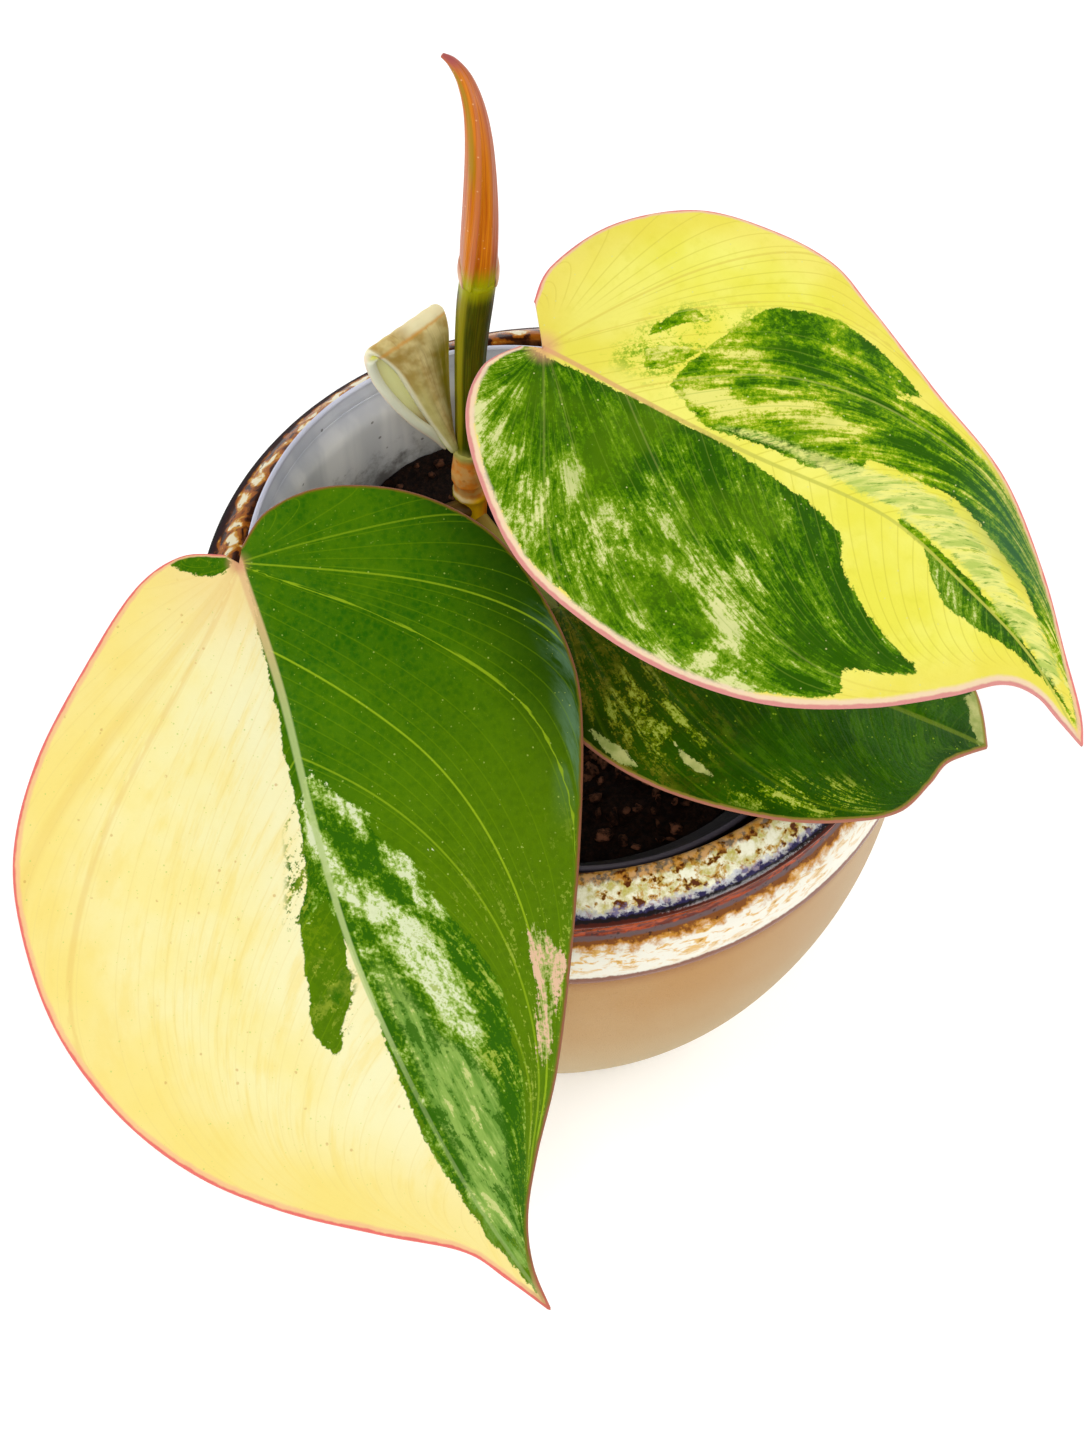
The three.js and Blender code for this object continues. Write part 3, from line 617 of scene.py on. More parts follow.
def build_stage():
    shader = Shader("floor", emission_color=(1, 1, 1, 1), emission_strength=0.1)
    mesh = bpy.data.meshes.new("floor")
    side = FLOOR_HALF_SIDE
    corners = [(-side, -side, 0), (side, -side, 0), (side, side, 0), (-side, side, 0)]
    mesh.from_pydata(corners, [], [(0, 1, 2, 3)])
    mesh.materials.append(shader.finish((*FLOOR_TONE, 1), 0.9))
    add_object("floor", mesh)

    # Places and sizes in metres
    add_lamp("window_left", (-1.0, -0.25, 1.0), 1.0, 1.0, 5.8)
    add_lamp("window_right", (0.95, 0.5, 0.85), 1.0, 1.0, 6.8)
    fill = add_lamp("fill", (0, -0.72, 1.15), 0.4, 0.4, 4.5)
    fill.visible_glossy = False
    glint = add_lamp("glint", (0.95, -0.95, 0.3), 0.8, 0.25, 14.0)
    glint.visible_diffuse = False


# The cover pot

def pot_profile():
    """The outside up to the lip and the inside down, with the distance along it from the dark ridge."""
    foot, ridge = (31.4, 0), (52, 86)
    outside = [(0, 0), (24, 0), foot, (32.6, 0.5), (33.3, 1.8), (36.2, 8), (39.1, 14.3), (42.5, 21.5),
               (45.4, 28.6), (47.8, 36), (49.6, 43), (50.9, 50), (51.7, 57), (52.2, 64), (52.4, 71.2),
               (52.8, 71.8), (52.75, 74.7), (52.2, 77.4), (51.2, 79.4), (50.6, 81.4), (50.7, 83.4),
               (51.4, 85), ridge, (51.8, 86.7), (50.6, 88), (48.6, 90), (47.3, 90.9), (46.7, 91.1)]
    inside = [(46.2, 90.9), (45.9, 90.2), (46.2, 86), (47.2, 78), (47.8, 64), (47.5, 57), (45.4, 43),
              (41.2, 28.6), (34.9, 14.3), (30, 8.4), (25, 6.4), (12, 6), (0, 6)]
    points = outside + inside
    steps = 5
    fine = curve_through(points[1:-1], np.linspace(0, 1, (len(points) - 3) * steps + 1))
    fine[:, 1] = np.maximum(fine[:, 1], 0)
    flat = fine[:3 * steps]
    flat[flat[:, 0] < foot[0], 1] = 0
    runs = np.concatenate([[0], np.cumsum(np.linalg.norm(np.diff(fine, axis=0), axis=1))])
    course = runs[(outside.index(ridge) - 1) * steps] - runs
    return np.vstack([points[:1], fine, points[-1:]]), course


def build_pot():
    sides = 288
    profile, course = pot_profile()
    points, faces = turned(profile, sides)
    along = np.concatenate([np.repeat(course, sides), [course[0], course[-1]]])
    angle = np.arctan2(points[:, 1], points[:, 0])
    radius = np.hypot(points[:, 0], points[:, 1])

    # The glaze lies a little proud of the clay and thickens where it stopped running
    glazed = np.clip((GLAZE_END - along) / 0.6, 0, 1) * (along > GLAZE_INNER_END)
    wander = 0.5 * np.sin(7 * angle + 1) + 0.35 * np.sin(17 * angle + 2.2) + 0.3 * np.sin(29 * angle)
    bead = bell(along, GLAZE_BEAD + 0.25 * wander, 0.7)
    fringe = np.clip((along - GLAZE_FRINGE - 0.7 * wander) / 0.5, 0, 1)
    proud = glazed * (0.1 * fringe + 0.2 * bead + 0.05 * wander * bell(along, 9, 2.5))
    points[:, :2] *= (1 + proud / np.maximum(radius, 1))[:, None]
    install(piece_of("cover_pot", points, faces, pot_material(), {"course": along}), "pot")


class GlazeShader(Shader):
    """The cover pot's glaze and clay. Course is the distance from the dark ridge down the outside."""

    def __init__(self, name):
        super().__init__(name, specular_ior_level=0.1)
        self.spot = self.place()
        self.x, self.y, self.z = self.parts(self.spot)
        self.course = self.field("course")
        level = self.vector_sum("NORMALIZE", {0: self.join(self.x, self.y, 0.0)})
        ring_x, ring_y = self.parts(self.vector_sum("SCALE", {0: level, "Scale": 50.0}))[:2]
        self.level_streaks = self.noise(self.join(ring_x, ring_y, self.course * 2.4), 0.42, 4, 0.62, 0.6)
        self.flow = self.noise(self.join(ring_x, ring_y, self.course * 0.4), 0.5, 5, 0.64)
        self.fine = self.noise(self.spot, 1.1, 3, 0.6)
        self.wavy = self.course + (self.fine - 0.5) * 0.9
        self.specks = self.noise(self.spot, 0.72, 3, 0.5) + (self.noise(self.spot, 0.3, 2) - 0.5) * 0.35

        # How far each point faces the rear, with a ragged edge
        rear = (self.y * 0.8 + self.x * -0.35).rise(-28, 4)
        self.rear = (rear + (self.flow - 0.5) * 0.6).rise(0.35, 0.65)


def clay_coat(s):
    """Bare clay, darker and browner just under the glaze, with painted light making its right side paler."""
    clay = s.coat(s.z.rise(18, 70), (200, 180, 140), (198, 152, 96))
    clay.lay(s.noise(s.spot, 3.2, 2, 0.5).rise(0.62, 0.72), (150, 104, 60), 0.3)
    clay.lay(s.noise(s.spot, 0.05, 2).rise(0.4, 0.7), (204, 174, 130), 0.3)
    # Painted light: the right side is painted paler and greyer, as if lit more
    clay.lay(s.x.rise(18, 50), (212, 202, 180), 0.4)
    clay.lay(s.course.rise(20.0, 15.0), (158, 98, 56), 0.7)
    return clay


def cream_coat(s, below):
    """Cream glaze, with golden runs, below a brown fringe."""
    golden = s.level_streaks.rise(0.5, 0.6) * s.course.rise(14.0, 10.5, 0.1, 1.0)
    golden *= s.x.rise(44, 22, 0.55, 1.0)
    cream = s.coat(golden * 0.85, (255, 251, 234), (236, 180, 62))
    cream.lay(s.level_streaks.rise(0.62, 0.7), (188, 132, 46), golden)
    cream.lay(below.rise(1.7, 0.1), (208, 142, 42))
    return cream


def groove_coat(s):
    """The groove under the ridge: rust, then a blue-grey painted reflection of the pale floor, then brown."""
    rust = s.coat(s.level_streaks.rise(0.4, 0.6), (186, 70, 0), (104, 30, 0))
    rust.lay(s.wavy.rise(0.8, -0.6), (74, 22, 4))
    # Painted reflection: the blue-grey band stands for the pale floor mirrored in the groove
    groove = s.coat(s.wavy.rise(4.9, 5.4), rust, (112, 88, 86))
    groove.lay(s.wavy.rise(5.9, 6.3), (134, 76, 24))
    groove.lay(s.fine.rise(0.6, 0.67), (44, 18, 10), 0.8)
    return groove


def front_coat(s):
    """The front of the sloping shoulder: cream and olive, with amber patches and brown specks."""
    patches = s.noise(s.spot, 0.4, 5, 0.7, 0.5) + (s.flow - 0.5) * 0.5
    front = s.coat(s.noise(s.spot, 0.62, 4, 0.66).rise(0.36, 0.7), (251, 248, 220), (196, 184, 90))
    front.lay(patches.rise(0.56, 0.64), (196, 150, 62))
    front.lay(patches.rise(0.64, 0.7), (118, 66, 18))
    front.lay(s.specks.rise(0.55, 0.62), (184, 142, 50))
    front.lay(s.specks.rise(0.6, 0.65), (92, 44, 8))
    amber = s.mix(s.fine.rise(0.44, 0.6), (198, 136, 52), (76, 34, 6))
    front.lay((s.course + (s.flow - 0.5) * 3.5).rise(-6.0, -6.8), amber, 0.85)
    blue = s.course + (s.noise(s.spot, 0.8, 4, 0.7) - 0.5) * 4.0
    front.lay(blue.rise(-3.2, -2.3), (146, 154, 204), 0.5)
    front.lay(blue.rise(-2.3, -1.7), (44, 38, 78))
    return front


def back_coat(s):
    """The shoulder's left and back: amber, with cream pools and a dark outer edge."""
    from_middle = abs(s.course + 5.2)
    pools = s.noise(s.spot, 0.4, 3, 0.5, 0.4) + from_middle.rise(2.6, 0.4, -0.12, 0.03)
    back = s.coat(pools.rise(0.36, 0.46), (52, 20, 4), (158, 86, 12))
    back.lay(pools.rise(0.49, 0.55), (204, 146, 50))
    back.lay(pools.rise(0.56, 0.62), (236, 226, 190))
    back.lay(s.specks.rise(0.63, 0.68), (92, 46, 14), 0.8)
    back.lay((s.course + (s.flow - 0.5) * 1.6).rise(-3.0, -2.3), (36, 6, 12))
    return back


def pot_material():
    s = GlazeShader("reactive_glaze_and_clay")
    below = s.course - (7.0 + (s.noise(s.spot, 0.42, 5, 0.66) - 0.5) * 6.0)
    glaze = s.coat(below.rise(-0.3, 0.35), groove_coat(s), cream_coat(s, below))
    glaze.lay(s.wavy.rise(-0.9, -1.2), s.mix(s.rear, front_coat(s), back_coat(s)))
    ridge = s.sum("MAXIMUM", s.wavy.band(-1.5, -0.9, 0.15), s.rear * s.wavy.band(-1.3, 1.5, 0.3))
    glaze.lay(ridge, (20, 8, 10))
    glaze.lay(s.course.rise(-8.0, -9.0), s.mix(s.flow.rise(0.4, 0.6), (60, 28, 14), (112, 66, 30)))

    # Where the glaze stops there is a thin red-brown line
    stop = s.course + (s.fine - 0.5) * 0.6
    bare = stop.rise(14.6, 14.9)
    base = s.coat(bare, glaze, clay_coat(s))
    base.lay(stop.band(13.4, 15.1, 0.2), (128, 58, 26), 0.9)
    s.bump(s.mix(bare, s.flow, s.noise(s.spot, 5.0, 2)), 0.4, 0.3)
    glossy = s.rear.rise(0.2, 0.9, 0.1, 0.26)
    glossy += s.rear * s.course.band(-3.4, 2.0, 0.5) * 0.5
    return s.finish(base, glossy + s.course.rise(14.5, 14.9, 0.0, 0.5))


# The nursery pot

def lean_frame():
    axis = Vector((*NURSERY_LEAN, 1)).normalized()
    turn = Vector((0, 0, 1)).rotation_difference(axis).to_matrix()
    return np.array(turn), np.array(NURSERY_RIM_CENTRE)


def lean_into_place(points):
    turn, centre = lean_frame()
    return np.asarray(points) @ turn.T + centre


def nursery_wall_radius(depth):
    top = NURSERY_RIM_RADIUS - NURSERY_FLANGE
    return top - (top - NURSERY_BASE_RADIUS) * depth / NURSERY_HEIGHT


def build_nursery_pot():
    sides = 224
    floor = NURSERY_FLOOR - NURSERY_HEIGHT
    rings = 24
    outside_depths = np.linspace(NURSERY_HEIGHT - 1, FLANGE_DROP, rings)
    inside_depths = np.linspace(5.0, -floor - 0.8, rings)
    profile = [(0, -NURSERY_HEIGHT), (NURSERY_BASE_RADIUS - 1.2, -NURSERY_HEIGHT),
               (NURSERY_BASE_RADIUS - 0.3, 0.3 - NURSERY_HEIGHT)]
    profile += [(nursery_wall_radius(depth), -depth) for depth in outside_depths]
    profile += [(NURSERY_RIM_RADIUS - 0.25, -FLANGE_DROP), (NURSERY_RIM_RADIUS, -FLANGE_DROP + 0.25)]
    lip_round = 0.4
    lip = NURSERY_RIM_RADIUS - lip_round
    profile += [(lip + lip_round * math.cos(turn), lip_round * math.sin(turn) - lip_round)
                for turn in np.linspace(0, math.pi, 9)]
    profile += [(lip - 0.55, -0.8), (lip - 0.95, -1.5), (lip - 1.3, -2.4), (lip - 1.6, -3.6)]
    profile += [(nursery_wall_radius(depth) - NURSERY_WALL, -depth) for depth in inside_depths]
    profile += [(nursery_wall_radius(-floor) - NURSERY_WALL - 0.8, floor), (0, floor)]
    points, faces = turned(profile, sides)
    fields = {"depth": -points[:, 2]}
    piece = piece_of("nursery_pot_shell", lean_into_place(points), faces, plastic_material(), fields)
    drill_drain_holes(piece)
    install(piece, "nursery_pot")


def drill_drain_holes(piece):
    holes, ring_radius, hole_radius, sides = 6, 17.0, 2.5, 24
    bottom, top = -NURSERY_HEIGHT - 3, -NURSERY_HEIGHT + 4
    hole, hole_faces = turned([(0, bottom), (hole_radius, bottom), (hole_radius, top), (0, top)], sides)
    points, faces = [], []
    for i in range(holes):
        angle = i / holes * 2 * math.pi
        centre = np.array([math.cos(angle) * ring_radius, math.sin(angle) * ring_radius, 0])
        faces += [tuple(len(points) + index for index in face) for face in hole_faces]
        points += (hole + centre).tolist()
    cutter = piece_of("drill", lean_into_place(points), faces, piece.data.materials[0])
    cut = piece.modifiers.new("drain", "BOOLEAN")
    cut.object = cutter
    cut.solver = "EXACT"
    bpy.context.view_layer.update()
    graph = bpy.context.evaluated_depsgraph_get()
    mesh = bpy.data.meshes.new_from_object(piece.evaluated_get(graph))
    piece.modifiers.clear()
    piece.data = mesh
    bpy.data.objects.remove(cutter)


def plastic_material():
    s = Shader("satin_grey_plastic", specular_ior_level=0.45)
    place = s.place()
    x, y = s.parts(place)[:2]
    depth = s.field("depth")
    upright = s.vector_sum("MULTIPLY", {0: place, 1: (1, 1, 0.12)})
    streaks = s.noise(upright, 0.16, 3, 0.5)
    base = s.coat(streaks.rise(0.42, 0.62), (226, 228, 232), (255, 255, 255))
    base.lay(depth.rise(2.5, 6.0, 0.55, 0.0), (190, 196, 220))
    # Painted shade: the inner wall is painted greyer deeper down, towards the soil
    base.lay(depth.rise(9.0, 20.0, 0.0, 0.3), (150, 148, 144))
    dust = (depth * 0.05 + s.noise(place, 0.35, 4, 0.7)).rise(1.2, 1.6)
    base.lay(dust, (62, 48, 40), 0.75)
    dots = s.cells(place, 0.3).rise(0.1, 0.06) * 0.7
    base.lay(dots, (84, 80, 76))
    lip = depth.rise(0.75, 0.35)
    base.lay(lip, (206, 208, 226))
    # Painted shade: the near front of the nursery pot is painted almost black; along the lip it stays a
    # little paler, a painted highlight
    painted_front_shade = (y * -0.8 + x * 0.4).rise(8, 26)
    base.lay(painted_front_shade, s.mix(lip, (22, 12, 10), (60, 48, 56)), 0.92)
    s.bump(s.noise(place, 2.5, 2), 0.12, 0.1)
    return s.finish(base, streaks.rise(0.3, 0.8, 0.3, 0.46))


# The soil

def seeded_random(seed):
    state = seed
    while True:
        state = (state * 1664525 + 1013904223) % 4294967296
        yield state / 4294967296


def soil_lumps():
    draw = seeded_random(7)
    lumps = []
    for _ in range(SOIL_LUMPS):
        x = (next(draw) * 2 - 1) * SOIL_REACH
        y = (next(draw) * 2 - 1) * SOIL_REACH
        radius = SOIL_LUMP_RADIUS * (1 + 1.5 * next(draw))
        lumps.append((x, y, radius, SOIL_LUMP * (0.35 + 0.65 * next(draw))))
    return np.array(lumps)


def soil_height(lumps, x, y):
    away = np.hypot(x[:, None] - lumps[:, 0], y[:, None] - lumps[:, 1]) / lumps[:, 2]
    return SOIL_LEVEL - SOIL_LUMP / 2 + (lumps[:, 3] * np.maximum(0, 1 - away * away)).max(axis=1)


def soil_edge(angles, level):
    """Where level rays from the soil's middle meet the inside of the nursery pot."""
    turn, centre = lean_frame()
    low, high = np.zeros(len(angles)), np.full(len(angles), 60.0)
    for _ in range(EDGE_HALVINGS):
        middle = (low + high) / 2
        level_points = [middle * np.cos(angles), middle * np.sin(angles), np.full(len(angles), level)]
        points = np.stack(level_points, axis=1)
        local = (points - centre) @ turn
        wall = nursery_wall_radius(-local[:, 2]) - NURSERY_WALL - SOIL_GAP
        inside = np.hypot(local[:, 0], local[:, 1]) < wall
        low, high = np.where(inside, middle, low), np.where(inside, high, middle)
    return low


def build_soil():
    lumps = soil_lumps()
    sides, rings = 240, 84
    angles = np.arange(sides) * 2 * math.pi / sides
    reach = soil_edge(angles, SOIL_LEVEL)
    shares = np.linspace(1, 0.012, rings) ** 0.9
    flat = np.array([[share * r * math.cos(a), share * r * math.sin(a), 0] for share in shares
                     for a, r in zip(angles, reach)])
    flat[:, 2] = soil_height(lumps, flat[:, 0], flat[:, 1])
    flat[:, 2] += 0.55 * rough(flat, 2.1) + 0.35 * rough(flat, 0.9, 5)
    floor = NURSERY_FLOOR - NURSERY_HEIGHT + SOIL_GAP
    base_radius = nursery_wall_radius(-floor) - NURSERY_WALL - SOIL_GAP
    base = lean_into_place([[base_radius * math.cos(a), base_radius * math.sin(a), floor] for a in angles])
    wall = [base * (1 - share) + flat[:sides] * share for share in (0, 0.5)]
    points = np.vstack([*wall, flat, lean_into_place([[0, 0, floor]]), [flat[-sides:].mean(axis=0)]])
    points, faces, chunk = add_soil_chunks(points, tube_faces(rings + 2, sides), lumps)
    install(piece_of("potting_mix", points, faces, soil_material(), {"chunk": chunk}), "soil")


def ball(subdivisions):
    made = bmesh.new()
    bmesh.ops.create_icosphere(made, subdivisions=subdivisions, radius=1)
    points = np.array([vertex.co[:] for vertex in made.verts])
    faces = [tuple(vertex.index for vertex in face.verts) for face in made.faces]
    made.free()
    return points, faces


def add_soil_chunks(points, faces, lumps):
    """Bark and clods lying in the surface: dented, flattened balls, half sunk."""
    random = np.random.default_rng(11)
    shape, shape_faces = ball(2)
    all_points, all_faces, all_chunk = [points], list(faces), [np.zeros(len(points))]
    count = len(points)
    for _ in range(SOIL_CHUNKS):
        angle = random.uniform(0, 2 * math.pi)
        size = random.choice(CHUNK_SIZES, p=CHUNK_CHANCES)
        limit = soil_edge(np.array([angle]), SOIL_LEVEL)[0] - 1.2 * size
        away = limit * math.sqrt(random.uniform(0, 1))
        spot = np.array([away * math.cos(angle), away * math.sin(angle)])
        spin = np.linalg.qr(random.normal(size=(3, 3)))[0]
        spin *= np.sign(np.linalg.det(spin))
        stretch = random.uniform(0.35, 1.25, 3) * size
        tone = random.uniform(0.25, 1)
        seed = random.uniform(0, 50)
        dents = 0.55 * rough(shape * 1.6, 1.0, seed) + 0.3 * rough(shape * 4, 1.0, seed)
        placed = (shape * (1 + dents)[:, None] * stretch) @ spin.T
        height = soil_height(lumps, spot[:1], spot[1:])[0]
        all_points.append(placed + np.array([*spot, height + 0.15 * size]))
        all_faces += [tuple(index + count for index in face) for face in shape_faces]
        all_chunk.append(np.full(len(placed), tone))
        count += len(placed)
    return np.vstack(all_points), all_faces, np.concatenate(all_chunk)


def soil_material():
    s = Shader("dark_potting_mix", specular_ior_level=0.2)
    place = s.place()
    tone = s.field("chunk")
    grit = s.noise(place, 1.3, 5, 0.7)
    base = s.coat(grit.rise(0.4, 0.7), (14, 6, 4), (48, 28, 18))
    bark = s.mix(s.noise(place, 0.8, 4, 0.7).rise(0.4, 0.62), (30, 14, 8), (156, 100, 72))
    base.lay(tone, bark, 0.8)
    s.bump(s.noise(place, 2.4, 5, 0.7), 0.8, 0.5)
    return s.finish(base, 0.9)


# Stalks, which are round sections swept along a smooth route

def sweep(route, steps, sides, section, twist=0.0):
    """Points, faces and, for each point, its share along the route, its share round it and how far it faces
    to the right. The section gives the radius as a share of the route's, from those shares and the angle."""
    shares = np.linspace(0, 1, steps + 1)
    line = curve_through(route, shares)
    centre, radius = line[:, :3], line[:, 3]
    along = np.empty_like(centre)
    along[1:-1] = centre[2:] - centre[:-2]
    along[0], along[-1] = centre[1] - centre[0], centre[-1] - centre[-2]
    along /= np.linalg.norm(along, axis=1)[:, None]
    side = np.array([1.0, 0, 0]) - along * along[:, :1]
    side /= np.linalg.norm(side, axis=1)[:, None]
    front = np.cross(along, side)
    turns = np.arange(sides) / sides
    angle = 2 * math.pi * turns[None] + SEAM_ANGLE + twist * shares[:, None]
    arms = np.cos(angle)[..., None] * side[:, None] + np.sin(angle)[..., None] * front[:, None]
    reach = radius[:, None] * section(shares[:, None], turns[None], angle)
    points = (centre[:, None] + arms * reach[..., None]).reshape(-1, 3)
    end_bulge = 0.3
    ends = [centre[0] - along[0] * radius[0] * end_bulge, centre[-1] + along[-1] * radius[-1] * end_bulge]
    fields = {"run": [*np.repeat(shares, sides), 0, 1], "turn": [*np.tile(turns, steps + 1), 0, 0],
              "facing": [*arms[..., 0].ravel(), 0, 0]}
    fields = {name: np.array(values) for name, values in fields.items()}
    return np.vstack([points, ends]), tube_faces(steps + 1, sides), fields


def build_stem():
    low, high = STEM[0][2], STEM[-1][2]

    def section(share, turn, angle):
        height = low + share * (high - low)
        ring = 0.05 * bell(height, 87.6, 0.35)
        swelling = 0.05 * bell(height, 92, 1.8) * np.cos(angle + 0.8)
        ribs = 0.02 * np.cos(9 * angle)
        return 1 + ring + swelling + ribs + 0.02 * np.cos(3 * angle + height)

    points, faces, fields = sweep(STEM, 90, 40, section)
    install(piece_of("main_stem", points, faces, stem_material(), fields), "stem")


def stem_material():
    s = Shader("stem_skin", subsurface_weight=0.08, specular_ior_level=0.2)
    place = s.place()
    z = s.parts(place)[2]
    facing = s.field("facing")
    mottle = s.noise(place, 0.5, 4, 0.6)
    streak = s.noise(s.join(facing * 4, z * 0.16, 0.0), 2.2, 3)
    below = s.coat((facing + streak * 0.5).rise(-0.55, -0.1), (226, 206, 10), (255, 196, 8))
    # Painted shade: the side facing right is painted a darker orange-brown
    below.lay(facing.rise(0.4, 0.98), (190, 104, 8))
    node = s.mix(mottle.rise(0.4, 0.62), (255, 188, 104), (255, 150, 44))
    base = s.coat(z.rise(87.4, 88.4), below, node)
    base.lay(z.rise(95.4, 96.8), (196, 190, 96))
    scar = (z + mottle * 0.8).band(87.8, 88.4, 0.2)
    base.lay(scar * facing.rise(0.4, -0.4), (255, 222, 160))
    dots = s.cells(place, 0.45).rise(0.16, 0.1)
    base.lay(dots, (206, 104, 30), 0.5)
    s.bump(mottle + streak * 0.6, 0.3, 0.2)
    return s.finish(base, 0.42)


def build_petiole(name, node, route, leaf, shades):
    """A stalk that ends inside the blade that it carries. Its upper side is a little flattened."""
    def under_blade(u, v, drop):
        return blade_points(leaf, np.array([u]), np.array([v]), np.array([-drop]))[0]

    def section(share, turn, angle):
        flattened = 0.16 * np.clip(np.sin(angle), 0, 1) ** 4 * np.clip(3 * share, 0, 1)
        return 1 + 0.03 * np.cos(5 * angle) - flattened

    end = under_blade(PETIOLE_INSET, 0.0, 1.6)
    beyond = under_blade(PETIOLE_INSET + 4, height_at(leaf["midrib"], np.array([6.5]))[0], 1.1)
    full = [*route, (*end, PETIOLE_END_RADIUS), (*beyond, PETIOLE_TIP_RADIUS)]
    points, faces, fields = sweep(full, 80, 28, section)
    install(piece_of(name, points, faces, petiole_material(name, *shades), fields), node)


def petiole_material(name, low, middle, high):
    s = Shader(name + "_skin", subsurface_weight=0.08, specular_ior_level=0.2)
    place = s.place()
    run = s.field("run")
    facing = s.field("facing")
    streak = s.noise(s.join(facing * 5, run * 3, s.field("turn")), 2.0, 4, 0.6)
    base = s.coat(run.rise(0.05, 0.45), low, middle)
    base.lay(run.rise(0.55, 0.98), high)
    base.lay(streak.rise(0.5, 0.75), (132, 128, 60), 0.5)
    base.lay(s.cells(place, 0.8).rise(0.14, 0.08), (150, 96, 60), 0.5)
    s.bump(streak, 0.25, 0.15)
    return s.finish(base, 0.42)


def build_new_stalk():
    def section(share, turn, angle):
        ribs = 0.035 * np.cos(8 * angle) + 0.02 * np.cos(13 * angle + 1)
        return 1 + ribs * (1 - 0.6 * share) + 0.05 * bell(share, 0.965, 0.025)

    points, faces, fields = sweep(NEW_STALK, 110, 56, section)
    install(piece_of("green_stalk", points, faces, stalk_material(), fields), "new_leaf_stalk")


def stalk_material():
    s = Shader("green_stalk_skin", subsurface_weight=0.04, specular_ior_level=0.14)
    place = s.place()
    z = s.parts(place)[2]
    facing = s.field("facing")
    streak = s.noise(s.join(facing * 6, z * 0.05, s.field("turn")), 2.4, 4, 0.6)
    base = s.coat(streak.rise(0.35, 0.65), (50, 60, 0), (86, 94, 4))
    stripe = (facing + (streak - 0.5) * 0.3).band(-0.92, -0.5, 0.12)
    base.lay(stripe, (150, 144, 14), 0.9)
    # Painted shade: the side facing right is painted darker
    base.lay(facing.rise(0.55, 0.95), (38, 46, 0), 0.7)
    jag = (streak - 0.5) * 1.6
    base.lay((z + jag).rise(127.0, 131.4), (166, 168, 4))
    base.lay(z.rise(99, 96), (196, 190, 96))
    s.bump(streak, 0.35, 0.2)
    return s.finish(base, 0.36)


# The new leaf, still rolled up

def build_new_leaf():
    def section(share, turn, angle):
        lap = 1 + ROLL_LAP * turn
        tucked = 0.07 * bell(turn, 0, 0.035)
        veins = 0.018 * np.cos(2 * math.pi * 9 * turn) + 0.01 * np.cos(2 * math.pi * 23 * turn + 1)
        lip = 0.035 * bell(turn, 0.97, 0.025)
        return lap - tucked + veins + lip

    points, faces, fields = sweep(NEW_LEAF, 150, 96, section, ROLL_TWIST)
    fields["lobe"] = np.zeros(len(points))
    for start, end, height in BASE_LOBES:
        points, faces, fields = add_base_lobe(points, faces, fields, start, end, height)
    piece = piece_of("rolled_leaf", points, faces, new_leaf_material(), fields)
    install(piece, "new_leaf")


def add_base_lobe(points, faces, fields, start, end, height):
    """One of the rolled leaf's two basal lobes: a small pale flap curved round its foot."""
    rows, columns = 20, 24
    foot = np.array(NEW_LEAF[0][:3])
    outer, inner = [], []
    for i in range(rows + 1):
        share = i / rows
        top = math.sqrt(max(0.0, 1 - (2 * share - 1) ** 2))
        angle = start + (end - start) * share
        arm = np.array([math.cos(angle), math.sin(angle), 0])
        for j in range(columns + 1):
            up = j / columns
            rise = np.array([0, 0, -0.6 + up * height * (0.35 + 0.65 * top)])
            bulge = BASE_LOBE_RADIUS + 0.25 * math.sin(math.pi * up)
            outer.append(foot + arm * bulge + rise)
            inner.append(foot + arm * (bulge - BASE_LOBE_THICKNESS) + rise)
    added = len(outer) + len(inner)
    lobe_faces = sheet_faces(rows + 1, columns + 1)
    faces = faces + [tuple(index + len(points) for index in face) for face in lobe_faces]
    fields = {name: np.concatenate([values, np.full(added, 1.0 if name == "lobe" else 0.0)])
              for name, values in fields.items()}
    return np.vstack([points, outer, inner]), faces, fields


def new_leaf_material():
    s = Shader("bronze_new_leaf", subsurface_weight=0.04, specular_ior_level=0.16)
    place = s.place()
    z = s.parts(place)[2]
    turn = s.field("turn")
    run = s.field("run")
    facing = s.field("facing")
    lines = s.noise(s.join(turn * 14, run * 0.7, 0.0), 3.0, 4, 0.6)
    base = s.coat(lines.rise(0.35, 0.6), (184, 88, 8), (222, 132, 16))
    base.lay(lines.rise(0.58, 0.66), (118, 56, 16), 0.6)
    ragged = facing + (lines - 0.5) * 0.5
    olive = ragged.band(-0.75, -0.3, 0.12) * (run.rise(0.3, 0.42) * run.rise(0.92, 0.8))
    base.lay(olive, (164, 128, 2), 0.85)
    base.lay(turn.rise(0.93, 0.96), (196, 112, 70), 0.7)
    base.lay(ragged.rise(0.5, 0.85), (160, 84, 66), 0.75)
    pink_left = ragged.rise(-0.62, -0.92) * run.rise(0.62, 0.35)
    base.lay(pink_left, (194, 120, 92), 0.8)
    tip = run.rise(0.74, 0.9) * ragged.rise(-0.5, 0.1, 0.35, 0.9)
    base.lay(tip, (166, 78, 84))
    foot = (z + (lines - 0.5) * 5.0).rise(136.6, 131.6)
    base.lay(foot, (176, 172, 4))
    lobe_tint = s.mix(z.rise(134.8, 132.4), (204, 134, 96), (232, 184, 146))
    base.lay(s.field("lobe"), lobe_tint)
    dots = s.cells(place, 0.7).rise(0.12, 0.06)
    base.lay(dots, (236, 190, 140), 0.6)
    s.bump(lines, 0.35, 0.15)
    return s.finish(base, 0.34)


# Blades

def blade_frame(leaf):
    heading, pitch, roll = (math.radians(leaf[name]) for name in ("heading", "pitch", "roll"))
    level = math.cos(pitch)
    u = np.array([math.cos(heading) * level, math.sin(heading) * level, -math.sin(pitch)])
    v = np.array([-math.sin(heading), math.cos(heading), 0.0])
    v = v * math.cos(roll) + np.cross(u, v) * math.sin(roll)
    return u, v, np.cross(u, v)


